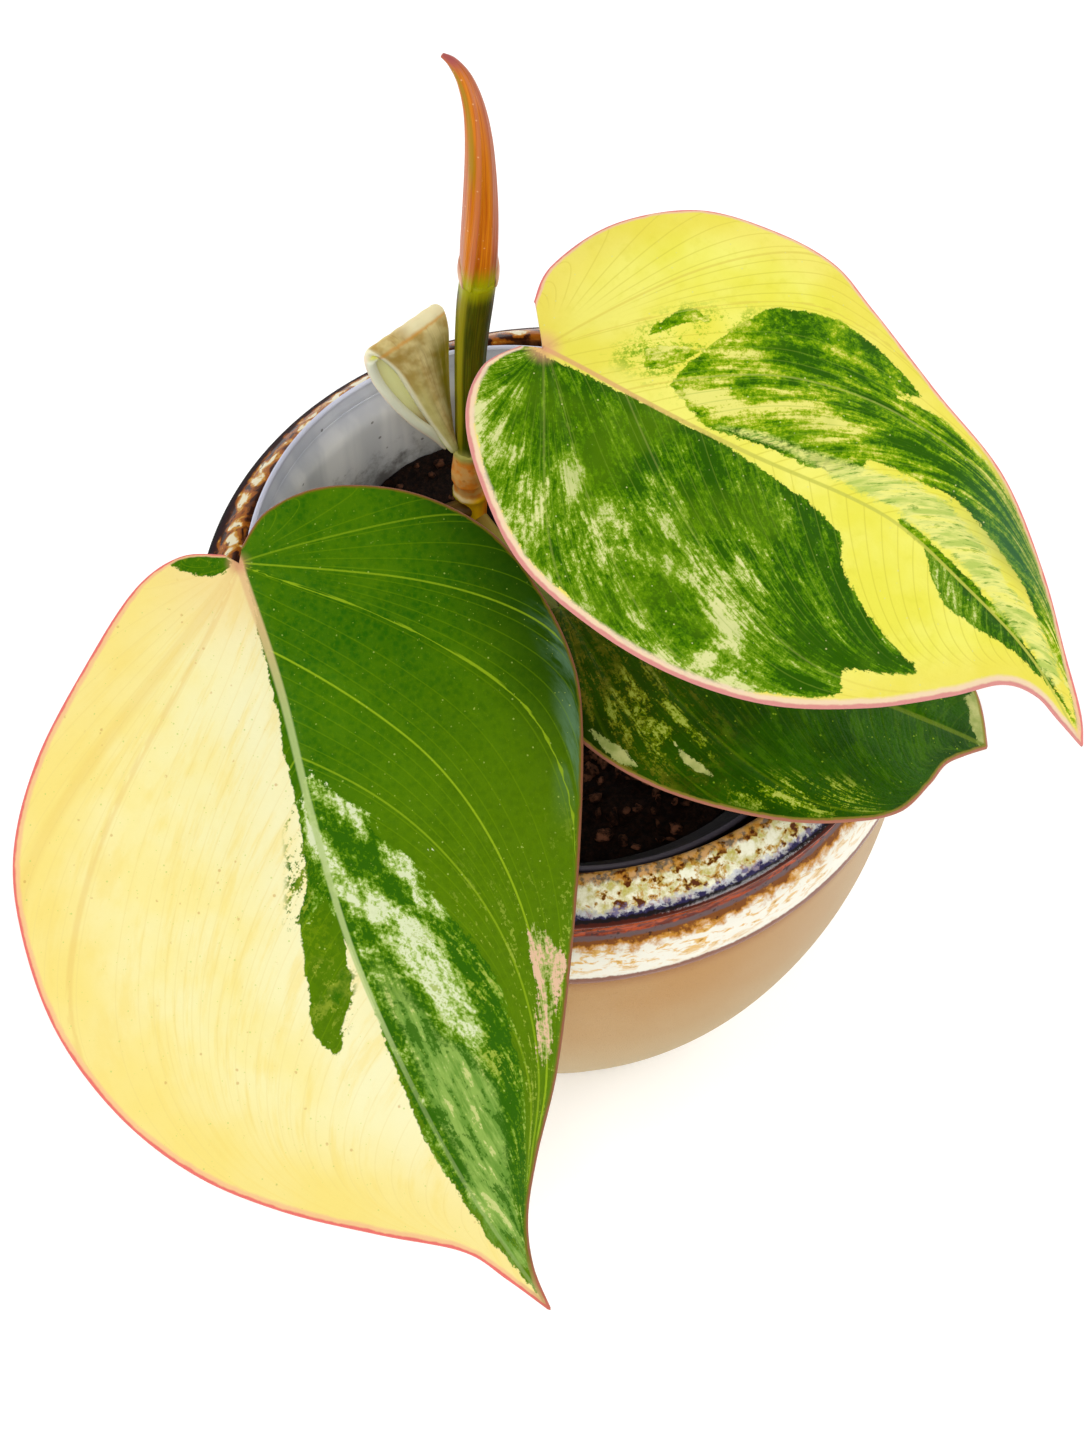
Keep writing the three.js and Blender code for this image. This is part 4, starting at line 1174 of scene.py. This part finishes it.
def blade_height(leaf, u, v):
    forward = np.maximum(u, 0) / leaf["length"]
    back = np.maximum(-u, 0) / LOBE_LENGTH
    out = (v - height_at(leaf["midrib"], u)) / leaf["half_width"]
    trough = leaf["trough"] * (np.hypot(out, TROUGH_ROUNDING) - TROUGH_ROUNDING)
    return trough - leaf["droop"] * forward ** 2 - leaf["lobe_droop"] * back ** 2 - leaf["curl"] * out ** 2


def blade_points(leaf, u, v, lift):
    along, across, up = blade_frame(leaf)
    height = blade_height(leaf, u, v) + lift
    return np.array(leaf["sinus"]) + u[:, None] * along + v[:, None] * across + height[:, None] * up


def margin_line(leaf, side, count):
    tip = (leaf["length"], float(height_at(leaf["midrib"], np.array([leaf["length"]]))[0]))
    return curve_through([*leaf[side], tip], np.linspace(0, 1, count))


def blade_rows(leaf, side):
    """Places [u, v] in rows from the midrib out to the margin."""
    shares = np.linspace(0, 1, BLADE_STATIONS + 1)
    forward = np.maximum(shares - LOBE_SHARE, 0) / (1 - LOBE_SHARE)
    u = leaf["length"] * forward ** VEIN_SWEEP
    feet = np.stack([u, height_at(leaf["midrib"], u)], axis=1)
    edges = margin_line(leaf, side, BLADE_STATIONS + 1)
    strips = np.linspace(0, 1, BLADE_STRIPS + 1)[None, :, None]
    return feet[:, None] + (edges - feet)[:, None] * strips


def side_width(leaf, u, side):
    """How far the margin of one side is from the midrib at each u."""
    line = margin_line(leaf, side, 400)
    line = line[np.argmin(line[:, 0]):]
    line = line[np.argsort(line[:, 0])]
    edge = np.interp(u, line[:, 0], line[:, 1])
    return np.maximum(np.abs(edge - height_at(leaf["midrib"], u)), 0.6)


def vein_of(leaf, u, v):
    """Which side vein a place lies on: 0 on the outermost of those that reach far forward from the sinus,
    more towards the tip and less in the lobes."""
    along = np.clip(u / leaf["length"], -1, 0.999)
    offset = v - height_at(leaf["midrib"], u)
    width = np.where(offset > 0, side_width(leaf, u, "left"), side_width(leaf, u, "right"))
    out = np.clip(np.abs(offset) / width, 1e-4, 0.998)
    straight, bowed = 0.45, 0.55
    sweep_share = straight * out + bowed * (1 - np.sqrt(1 - out ** 2))
    fan = np.clip((along / sweep_share - FIRST_VEIN_END) * 0.5, -0.7, 0)
    low, high = np.zeros_like(along), np.ones_like(along)
    for _ in range(VEIN_HALVINGS):
        foot = (low + high) / 2
        end = 1 - (1 - FIRST_VEIN_END) * np.exp(-foot / VEIN_CROWDING)
        reach = foot + (end - foot) * sweep_share
        low, high = np.where(reach < along, foot, low), np.where(reach < along, high, foot)
    return np.where(along < FIRST_VEIN_END * sweep_share, fan, (low + high) / 2)


def vein_spacing(leaf, u, v):
    """Millimetres across the veins for each unit of vein_of."""
    step = 0.05
    du = (vein_of(leaf, u + step, v) - vein_of(leaf, u - step, v)) / (2 * step)
    dv = (vein_of(leaf, u, v + step) - vein_of(leaf, u, v - step)) / (2 * step)
    return np.clip(1 / np.maximum(np.hypot(du, dv), 1e-4), 1, 200)


def blade_shell(leaf):
    """A closed blade: u, v and level of its corners, and triangles. Level is 1 above, -1 below, 0 between."""
    corners, triangles = [], []

    def corner(place, level):
        corners.append((round(float(place[0]), 4), round(float(place[1]), 4), level))
        return len(corners) - 1

    for side, flip in (("left", False), ("right", True)):
        rows = blade_rows(leaf, side)
        tangent = np.gradient(rows[:, -1], axis=0)
        tangent /= np.maximum(np.linalg.norm(tangent, axis=1), 1e-6)[:, None]
        outward = np.stack([-tangent[:, 1], tangent[:, 0]], axis=1) * (-1 if flip else 1)
        grids = {}
        for level in (1, -1):
            grid = np.array([[corner(place, level) for place in row] for row in rows])
            grids[level] = grid
            a, b, c, d = grid[:-1, :-1], grid[1:, :-1], grid[1:, 1:], grid[:-1, 1:]
            if flip != (level < 0):
                b, d = d, b
            triangles += np.stack([a, b, c], axis=-1).reshape(-1, 3).tolist()
            triangles += np.stack([a, c, d], axis=-1).reshape(-1, 3).tolist()
        rim = [corner(place, 0) for place in rows[:-1, -1] + outward[:-1] * MARGIN_BULGE]
        rim.append(corner(rows[-1, -1], 0))
        notch = [corner(place, 0) for place in rows[0]]
        notch[-1] = rim[0]
        for upper, middle, lower, turned_over in (
                (grids[1][:, -1], rim, grids[-1][:, -1], flip),
                (grids[1][0], notch, grids[-1][0], not flip)):
            for a in range(len(upper) - 1):
                for top, low in ((upper, middle), (middle, lower)):
                    quad = [top[a], low[a], low[a + 1], top[a + 1]]
                    if turned_over:
                        quad.reverse()
                    triangles += [quad[:3], [quad[0], *quad[2:]]]
    unique, index = np.unique(np.array(corners), axis=0, return_inverse=True)
    faces = index.ravel()[np.array(triangles)]
    distinct = (faces != np.roll(faces, 1, axis=1)).all(axis=1)
    return unique.T, faces[distinct]


def build_blade(name, node, leaf, patches, main_veins, material):
    (u, v, level), faces = blade_shell(leaf)
    places = np.stack([u, v], axis=1)
    margin = np.vstack([margin_line(leaf, "left", 260), margin_line(leaf, "right", 260)[::-1]])
    edge = np.abs(depth_inside(places, margin))
    edge[level == 0] = 0
    rib = v - height_at(leaf["midrib"], u)
    vein = vein_of(leaf, u, v)
    spacing = vein_spacing(leaf, u, v)

    # Veins are pressed into the upper face, and the midrib stands out below
    thickening = np.clip(edge / 2.5, 0, 1) ** 0.7
    half = MARGIN_HALF_THICKNESS + (BLADE_HALF_THICKNESS - MARGIN_HALF_THICKNESS) * thickening
    near_tip = np.clip(1 - u / leaf["length"], 0, 1)
    groove = MIDRIB_GROOVE * bell(rib, 0, 0.9) * np.sqrt(near_tip)
    for start, depth in main_veins:
        vein_line = bell((vein - start) * spacing, 0, 0.55)
        groove += VEIN_GROOVE * depth * vein_line * np.clip(edge / 4, 0, 1)
    flat = np.stack([u, v, np.zeros(len(u))], axis=1)
    wave = 0.22 * rough(flat, 13.0, 3) + 0.07 * rough(flat, 4.0, 8)
    lift = level * half + wave * np.clip(edge / 3 + 0.35, 0, 1) - groove
    ridge = MIDRIB_RIDGE * bell(rib, 0, 1.0) * near_tip ** 0.6 * np.clip(edge / 3, 0, 1)
    lift = np.where(level < 0, lift - ridge, lift)

    fields = {"vein": vein, "spacing": spacing, "edge": edge, "rib": rib, "u": u, "v": v, "under": level < 0}
    for patch, outlines in patches.items():
        fields[patch] = np.max([depth_inside(places, outline) for outline in outlines], axis=0)
    install(piece_of(name, blade_points(leaf, u, v, lift), faces, material, fields), node)


class LeafShader(Shader):
    """A blade's material, painted in layers over a ground colour."""

    def __init__(self, name, seed):
        super().__init__(name, specular_ior_level=0.06, sheen_weight=0.02, sheen_roughness=0.35)
        fields = ("u", "v", "vein", "edge", "rib", "spacing")
        self.u, self.v, self.vein, self.edge, self.rib, self.spacing = map(self.field, fields)
        layer = self.rib.rise(-0.05, 0.05, seed, seed + 7)
        across = self.vein * SIDE_VEINS
        run = self.u * 0.9 + abs(self.rib) * 0.5
        drawn_out = self.join(across, run * 0.09, layer)
        self.flat = self.join(self.u, self.v, seed)
        self.streak = self.noise(drawn_out, 1.0, 5, 0.62)
        self.fine_streak = self.noise(drawn_out, 3.4, 5, 0.72)
        self.blotch = self.noise(self.join(across, run * 0.28, layer), 0.62, 5, 0.66)
        self.crumb = self.noise(self.flat, 1.8, 4, 0.72)
        self.broad = self.noise(self.join(across * 0.3, run * 0.06, layer), 1.0, 2, 0.5) - 0.5
        self.cloud = self.noise(self.flat, 0.09, 3, 0.5)
        self.mottle = self.noise(self.flat, 0.5, 4, 0.6)
        self.net = self.cells(self.flat, 1.0).rise(0.2, 0.65)
        self.texture = ((self.blotch - 0.5) * 0.75 + (self.streak - 0.5) * 0.4
                        + (self.fine_streak - 0.5) * 0.35 + (self.crumb - 0.5) * 0.6)

    def shade(self, low, high, share=None):
        """Two colours mottled into each other, as a coat."""
        return self.coat(self.mottle.rise(0.32, 0.68) if share is None else share, low, high)

    def patch(self, name, jag, blur):
        """A patch's mask, with a ragged edge."""
        return (self.field(name) + self.texture * (jag * 4)).rise(-blur, blur)

    def mosaic(self, bias, levels, tones):
        """Small ragged flakes. Each tone but the first shows where texture and bias add up to its level."""
        level = self.texture + bias
        flakes = Coat(self, tones[0])
        for start, tone in zip(levels, tones[1:]):
            flakes.lay(level.rise(start - 0.012, start + 0.012), tone)
        return flakes

    def lines(self, width, per_unit=SIDE_VEINS):
        """Thin lines on evenly spaced side veins, of one width in millimetres."""
        place = self.sum("FRACT", self.vein * per_unit + 0.04 * per_unit)
        away = abs(place - 0.5) * (self.spacing * (1 / per_unit))
        return away.rise(width, width * 0.3) * self.spacing.rise(per_unit * 0.5, per_unit * 1.2)

    def main_line(self, start, width):
        return (abs(self.vein - start) * self.spacing).rise(width, width * 0.25)

    def midrib(self, width):
        return (abs(self.rib) / self.u.rise(0, 100, width, width * 0.45)).rise(1.0, 0.45)

    def heart(self, reach):
        """Strongest at the sinus, where the petiole joins."""
        return self.sum("SQRT", self.u * self.u + self.v * self.v).rise(reach, 0.5)

    def specks(self, scale):
        """Fine dots, in clusters."""
        return self.cells(self.flat, scale).rise(0.13, 0.07) * self.noise(self.flat, 0.8, 2).rise(0.5, 0.6)

    def complete(self, base, blush, edge_colour, inner_colour, smoothest, roughest):
        """Adds the pink margin, the paler underside, the relief and the gloss. Blush is the pink's width."""
        share = (self.edge + (self.mottle - 0.5) * 0.5) / blush
        base.lay(share.rise(1.1, 0.6), inner_colour, 0.85)
        base.lay(share.rise(0.4, 0.15), edge_colour)
        base.lay(self.field("under"), self.mix(0.5, base, (196, 190, 140)))
        height = self.cells(self.flat, 2.2) * 0.35 + self.fine_streak * 0.7
        height = height + self.lines(0.25) * -0.2 + self.mottle * 1.6
        self.bump(height, 0.35, 0.16)
        return self.finish(base, self.mottle.rise(0.3, 0.7, smoothest, roughest))


def marbled_green(s, lower):
    """The green of leaf 1: flakes from dark green to cream, more finely streaked on its lower half."""
    bias = s.field("lace").rise(-2.5, 2.5, 0.0, s.rib.rise(0.3, -0.3, 0.12, 0.17))
    bias = bias + s.field("pale").rise(-1.2, 0.8, 0.0, 0.2) + s.rib.rise(0.3, -0.3, -0.05, -0.1)
    bias += s.edge.rise(3.0, 1.0, 0.0, 0.14)
    bias += s.broad * 0.5
    bias += (s.streak - 0.5) * 0.5 * s.rib.rise(-0.3, 0.3)
    bias += (s.fine_streak - 0.5) * 0.4 * lower
    levels = (-0.1, -0.02, 0.07, 0.15, 0.22)
    upper_tones = ((46, 94, 0), (72, 122, 0), (108, 154, 0), (156, 184, 24), (206, 210, 82),
                   (240, 236, 124))
    lower_tones = ((44, 90, 0), (66, 116, 0), (92, 138, 2), (132, 166, 38), (190, 206, 110),
                   (226, 228, 156))
    leafy = s.coat(lower, s.mosaic(bias, levels, upper_tones), s.mosaic(bias, levels, lower_tones))
    leafy.lay(s.lines(0.12), (136, 166, 50), 0.3)
    leafy.lay(s.cloud.rise(0.5, 0.7), (112, 152, 10), 0.35)
    return leafy


def leaf_1_material():
    s = LeafShader("yellow_and_green_blade", 3.0)
    lower = s.rib.rise(0.3, -0.3)
    base = s.shade((242, 236, 84), (250, 246, 120), s.cloud.rise(0.35, 0.65))
    base.lay(s.lines(0.13), (200, 188, 50), 0.35)
    base.lay(s.mottle.rise(0.5, 0.75), (226, 220, 62), 0.3)
    base.lay(s.edge.rise(7, 1.5), (246, 214, 96), 0.3)
    base.lay(s.heart(26), (230, 210, 96), 0.35)
    green = s.patch("green", 0.55, 0.08)
    base.lay(green, marbled_green(s, lower))
    flecks = s.field("fleck").rise(-2.0, 2.0) * (1 - green) * s.texture.rise(0.0, 0.06)
    fleck_tone = s.shade((200, 212, 60), (120, 166, 10), s.texture.rise(0.05, 0.12))
    base.lay(flecks, fleck_tone, 0.9)
    band = s.patch("band", 0.8, 0.5) * s.streak.rise(0.36, 0.5, 0.5, 1.0)
    band_shade = s.shade((244, 242, 140), (188, 208, 100), s.streak.rise(0.44, 0.6))
    band_shade.lay(s.fine_streak.rise(0.54, 0.62), (128, 166, 66))
    base.lay(band, band_shade, 0.95)
    # Painted sheen: a blue-green patch by the tip stands for reflected light
    painted_tip_sheen = s.u.rise(52, 66) * s.rib.rise(4, 8)
    base.lay(painted_tip_sheen, (70, 114, 84), 0.5)
    line_shade = s.mix(green, (222, 200, 80), (176, 184, 90))
    for start, width in ((-0.13, 0.25), (0.0, 0.25), (0.14, 0.2)):
        base.lay(s.main_line(start, width) * s.rib.rise(-0.3, 0.3, 0.25, 0.5), line_shade)
    rib_shade = s.mix(s.u.rise(8, 34), (226, 172, 116), (204, 204, 84))
    base.lay(s.midrib(0.45), rib_shade, 0.8)
    base.lay(s.heart(3.2), (232, 168, 130), 0.7)
    base.lay(s.specks(0.9), (226, 226, 150), 0.75)
    blush = (s.rib + s.u * -0.1).rise(0, -12, 0.5, 1.15)
    edge_colour = s.mix(lower, (236, 132, 126), (226, 150, 142))
    inner_colour = s.mix(lower, (248, 200, 166), (250, 218, 192))
    return s.complete(base, blush, edge_colour, inner_colour, 0.3, 0.42)


def cream_half(s):
    """Cream that yellows towards the margin, with pale veins and a few brown specks."""
    cream = s.shade((255, 240, 156), (255, 246, 180), s.cloud.rise(0.35, 0.65))
    cream.lay(s.rib.rise(-16, -2, 0.0, 0.6), (255, 252, 210))
    cream.lay(s.edge.rise(17, 2), (253, 226, 112), 0.6)
    cream.lay(s.streak.rise(0.46, 0.68), (252, 226, 122), 0.45)
    cream.lay(s.lines(0.12), (240, 214, 130), 0.2)
    cream.lay(s.main_line(0.0, 0.6), (236, 190, 100), 0.3)
    cream.lay(s.main_line(-0.12, 1.4), (240, 200, 98), 0.25)
    cream.lay(s.heart(16), (250, 214, 160), 0.4)
    cream.lay(s.specks(0.5), (206, 150, 74), 0.5)
    return cream


def green_half(s, drawn_along):
    """Green with yellow-green veins, painted shade and a painted sheen by the margin, and flakes of cream
    along the midrib.
    """
    leafy = s.shade((44, 102, 0), (64, 116, 0), s.cloud.rise(0.38, 0.66))
    leafy.lay((s.u + s.rib * 0.5).rise(20, 70, 0.0, 0.7), (96, 128, 0))
    leafy.lay(s.streak.rise(0.5, 0.75), (100, 138, 0), 0.3)
    leafy.lay(s.crumb.rise(0.52, 0.66), (108, 142, 0), 0.25)
    leafy.lay(s.net, (104, 144, 0), 0.22)
    # Painted shade: the outer part of the green half is darkened near its margin
    leafy.lay(s.v.rise(20, 34) * s.u.rise(58, 30), (28, 62, 2), 0.85)
    # Painted sheen: pale blue-grey streaks by the margin stand for a glossy reflection
    painted_sheen = s.edge.rise(4.5, 1.0) * s.u.band(24, 46, 6) * s.streak.rise(0.4, 0.6)
    leafy.lay(painted_sheen * s.v.rise(10, 25), (120, 158, 128), 0.45)
    leafy.lay(s.texture.rise(0.0, 0.08) * s.rib.rise(-1, -3, 0.0, 0.5), (120, 150, 10))
    leafy.lay(s.lines(0.12), (122, 158, 6), 0.3)
    for start, strength in (
            (0.0, 0.8), (0.12, 0.8), (-0.13, 0.65), (-0.24, 0.4), (0.26, 0.55), (0.42, 0.4)):
        leafy.lay(s.main_line(start, 0.2), (160, 190, 30), strength)
    bias = s.field("pale").rise(-1.8, 0.8, 0.0, 0.24) + s.field("grey").rise(-2, 2, -0.08, 0.0)
    bias += (drawn_along - 0.5) * 0.5
    tones = ((50, 102, 0), (84, 130, 2), (132, 168, 56), (184, 206, 120), (228, 236, 190))
    flakes = s.mosaic(bias, (-0.06, 0.02, 0.09, 0.16), tones)
    leafy.lay((s.field("lace").rise(-2.5, 2.5) + s.texture * 1.5).rise(0.42, 0.5), flakes)
    leafy.lay(s.u.rise(44, 66) * s.texture.rise(0.09, 0.12) * s.rib.rise(2, 6), (160, 180, 60), 0.8)
    return leafy


def leaf_2_material():
    s = LeafShader("cream_and_green_blade", 11.0)
    drawn_along = s.noise(s.join(s.u * 0.14, s.rib * 0.8, 5.0), 1.0, 4, 0.62)
    green = s.patch("green", 0.5, 0.08)
    base = cream_half(s)
    base.lay(green, green_half(s, drawn_along))
    flecks = s.field("fleck").rise(-0.6, 0.6) * s.texture.rise(0.0, 0.05)
    base.lay(flecks, s.shade((60, 110, 0), (140, 160, 40)))
    grey = s.patch("grey", 1.0, 0.8) * green * s.u.rise(54, 66)
    grey_shade = s.shade((110, 154, 56), (150, 184, 84), drawn_along.rise(0.42, 0.58))
    grey_shade.lay((drawn_along + s.texture * 0.6).rise(0.6, 0.64), (206, 214, 130))
    base.lay(grey * (drawn_along + s.texture).rise(0.34, 0.42, 0.2, 0.95), grey_shade)
    pink = s.patch("pink", 0.8, 0.15) * green
    pinkish = s.shade((170, 182, 96), (236, 196, 160), s.texture.rise(0.0, 0.08))
    base.lay(pink * s.texture.rise(-0.1, -0.02), pinkish)
    base.lay(s.specks(1.5), (196, 214, 90), 0.7)
    base.lay(s.specks(0.8), (190, 210, 100), 0.6)
    rib_shade = s.mix(s.u.rise(4, 26), (236, 196, 140), (186, 206, 130))
    base.lay(s.midrib(0.75) * s.u.rise(76, 58, 0.3, 0.85), rib_shade)
    base.lay(s.heart(2.2) * s.rib.rise(1.2, 0.2, 0.25, 0.7), (222, 156, 116))
    blush = (s.rib + s.u * -0.12).rise(-4, -20, 0.4, 1.0)
    cream_side = s.rib.rise(2, -2)
    edge_colour = s.mix(cream_side, (150, 96, 64), (240, 120, 110))
    inner_colour = s.mix(cream_side, (120, 110, 20), (252, 196, 146))
    return s.complete(base, blush, edge_colour, inner_colour, 0.34, 0.46)


def leaf_3_material():
    s = LeafShader("dark_green_blade", 23.0)
    base = s.shade((28, 66, 0), (46, 92, 0), s.cloud.rise(0.35, 0.65))
    base.lay(s.streak.rise(0.5, 0.75), (84, 116, 0), 0.35)
    base.lay(s.lines(0.14, 30), (84, 116, 0), 0.25)
    for start in (0.0, 0.12, -0.13):
        base.lay(s.main_line(start, 0.3), (98, 128, 4), 0.55)
    base.lay(s.crumb.rise(0.5, 0.6), (22, 60, 0), 0.4)
    base.lay(s.blotch.rise(0.54, 0.62), (76, 122, 0), 0.4)
    # Painted shadow: the blade's inner part, under leaf 1, is darkened; olive streaks are laid in the same
    # zone
    leaf_1_painted_shadow = s.u.rise(34, 12)
    base.lay(leaf_1_painted_shadow, (40, 54, 0), 0.55)
    olive = leaf_1_painted_shadow * s.texture.rise(-0.02, 0.06)
    base.lay(olive, s.shade((78, 84, 8), (122, 112, 24)), 0.8)
    lace = s.field("lace").rise(-2.5, 1.5)
    yellow = lace * s.texture.rise(0.03, 0.06)
    base.lay(yellow * s.u.rise(12, 30, 0.35, 0.9), (132, 160, 10))
    yellow = lace * s.texture.rise(0.1, 0.12)
    base.lay(yellow * s.u.rise(12, 30, 0.4, 0.9), (196, 206, 90))
    pale = s.patch("pale", 0.6, 0.12)
    base.lay(pale, s.shade((206, 206, 130), (160, 172, 90)), 0.9)
    base.lay(s.specks(0.7), (150, 180, 40), 0.75)
    base.lay(s.specks(1.3), (170, 196, 60), 0.6)
    base.lay(s.midrib(0.7), (110, 132, 30), 0.7)
    return s.complete(base, 0.5, (180, 116, 92), (150, 132, 50), 0.22, 0.34)


# The cataphyll

def build_sheath():
    rounds, strips = 160, 64
    shares = np.linspace(0, 1, rounds + 1)
    left = curve_through(SHEATH_LEFT_RIM, shares)
    right = curve_through(SHEATH_RIGHT_RIM, shares)
    width = np.linalg.norm(right - left, axis=1)[:, None, None]
    over = (right - left)[:, None] / width
    inward = np.cross(np.gradient((left + right) / 2, axis=0), over[:, 0])
    inward = (inward / np.linalg.norm(inward, axis=1)[:, None])[:, None]
    reach = np.linspace(0, 1, strips + 1)[None, :, None] ** 1.8
    run = shares[:, None, None] + 0 * reach

    # The left rim is rolled inwards, tightly at the fold and not at all at the foot
    ends = np.clip(shares / 0.14, 0, 1) * np.clip((1 - shares) / 0.14, 0, 1)
    roll = (SHEATH_ROLL * ends * (1 - 0.55 * bell(shares, 0.46, 0.05)) + 0.02)[:, None, None]
    away = reach * width
    curl = np.clip(1 - away / roll, 0, 1)
    angle = curl * SHEATH_ROLL_ANGLE
    front = np.clip((0.47 - run) / 0.06, 0, 1)
    belly = 0.7 * np.sin(math.pi * reach) * front - 0.04 * np.cos(reach * 34) * np.clip(reach * 4, 0, 1)
    shape = left[:, None] + over * (np.maximum(away, roll) - roll * np.sin(angle))
    shape += inward * (roll * (1 - np.cos(angle)) - belly)
    normal = np.cross(np.gradient(shape, axis=0), np.gradient(shape, axis=1))
    normal /= np.maximum(np.linalg.norm(normal, axis=2), 1e-9)[..., None]
    edge = np.clip(np.minimum(away / 0.25, (1 - reach) * width / 0.4) + 0.3, 0, 1)
    half = SHEATH_THICKNESS / 2 * edge
    points = np.vstack([(shape - normal * half).reshape(-1, 3), (shape + normal * half).reshape(-1, 3)])
    values = {"run": run, "reach": reach + 0 * run, "curl": curl}
    fields = {name: np.tile(value.ravel(), 2) for name, value in values.items()}
    piece = piece_of("papery_sheath", points, sheet_faces(rounds + 1, strips + 1), sheath_material(), fields)
    install(piece, "cataphyll")


def sheath_material():
    s = Shader("papery_sheath", subsurface_weight=0.1, specular_ior_level=0.15)
    place = s.place()
    run = s.field("run")
    reach = s.field("reach")
    curl = s.field("curl")
    veins = s.noise(s.join(reach * 13, run * 3, 0.0), 1.6, 4, 0.6)
    cloud = s.noise(place, 0.25, 3)
    base = s.coat(cloud.rise(0.35, 0.65), (236, 214, 146), (182, 146, 70))
    base.lay(veins.rise(0.56, 0.66), (160, 118, 66), 0.35)
    green = reach.rise(0.45, 0.8) * run.band(0.1, 0.36, 0.06)
    base.lay(green * veins.rise(0.3, 0.5, 0.6, 0.95), (116, 110, 0))
    tint = reach.rise(0.5, 0.2) * run.rise(0.4, 0.15)
    base.lay(tint, (214, 206, 120), 0.6)
    near_rim = curl + reach * -1.5
    base.lay(near_rim.rise(-0.12, 0.05), (248, 238, 196))
    # Painted light: the inside of the rolled rim is painted a bright yellow-green, as if lit
    base.lay(curl.rise(0.4, 0.62), (244, 244, 124))

    # The back half: a pale rolled rim, and a hollow painted pale yellow as painted light, which darkens
    # towards the foot
    hollow = s.mix(run.rise(0.76, 0.94), (255, 255, 176), (196, 116, 36))
    back = s.coat(near_rim.rise(-0.2, 0.0), hollow, (246, 244, 214))
    back.lay(curl.band(0.25, 0.6, 0.1), (242, 206, 180), 0.5)
    base.lay(run.rise(0.5, 0.56), back)
    fold = (run + (veins - 0.5) * 0.02).band(0.425, 0.437, 0.006)
    base.lay(fold, (226, 156, 62), 0.7)
    cap = run.band(0.437, 0.53, 0.008) * reach.rise(0.3, 0.6)
    base.lay(cap, (246, 232, 184), 0.8)
    base.lay(run.rise(0.06, 0.0), (206, 200, 120), 0.8)
    s.bump(veins, 0.25, 0.15)
    return s.finish(base, 0.46)


build_camera()
build_world()
build_stage()
build_pot()
build_nursery_pot()
build_soil()
build_stem()
build_petiole("leaf_1_petiole", "petiole_1", PETIOLE_1, LEAF_1,
              ((206, 190, 110), (206, 166, 120), (222, 150, 120)))
# Leaf 2's petiole has a dark foot: partly the stalk's own brown, partly painted shade
build_petiole("leaf_2_petiole", "petiole_2", PETIOLE_2, LEAF_2,
              ((96, 66, 24), (100, 112, 34), (196, 150, 100)))
build_petiole("leaf_3_petiole", "petiole_3", PETIOLE_3, LEAF_3,
              ((150, 120, 50), (150, 160, 60), (176, 184, 96)))
build_new_stalk()
build_new_leaf()
build_blade("leaf_1_blade", "leaf_1", LEAF_1, LEAF_1_PATCHES,
            ((0.0, 1.0), (-0.13, 1.0), (0.15, 0.6)), leaf_1_material())
build_blade("leaf_2_blade", "leaf_2", LEAF_2, LEAF_2_PATCHES,
            ((0.0, 1.0), (0.12, 1.0), (-0.13, 0.8), (-0.24, 0.5)), leaf_2_material())
build_blade("leaf_3_blade", "leaf_3", LEAF_3, LEAF_3_PATCHES,
            ((0.0, 1.0), (0.12, 1.0), (-0.13, 0.8)), leaf_3_material())
build_sheath()
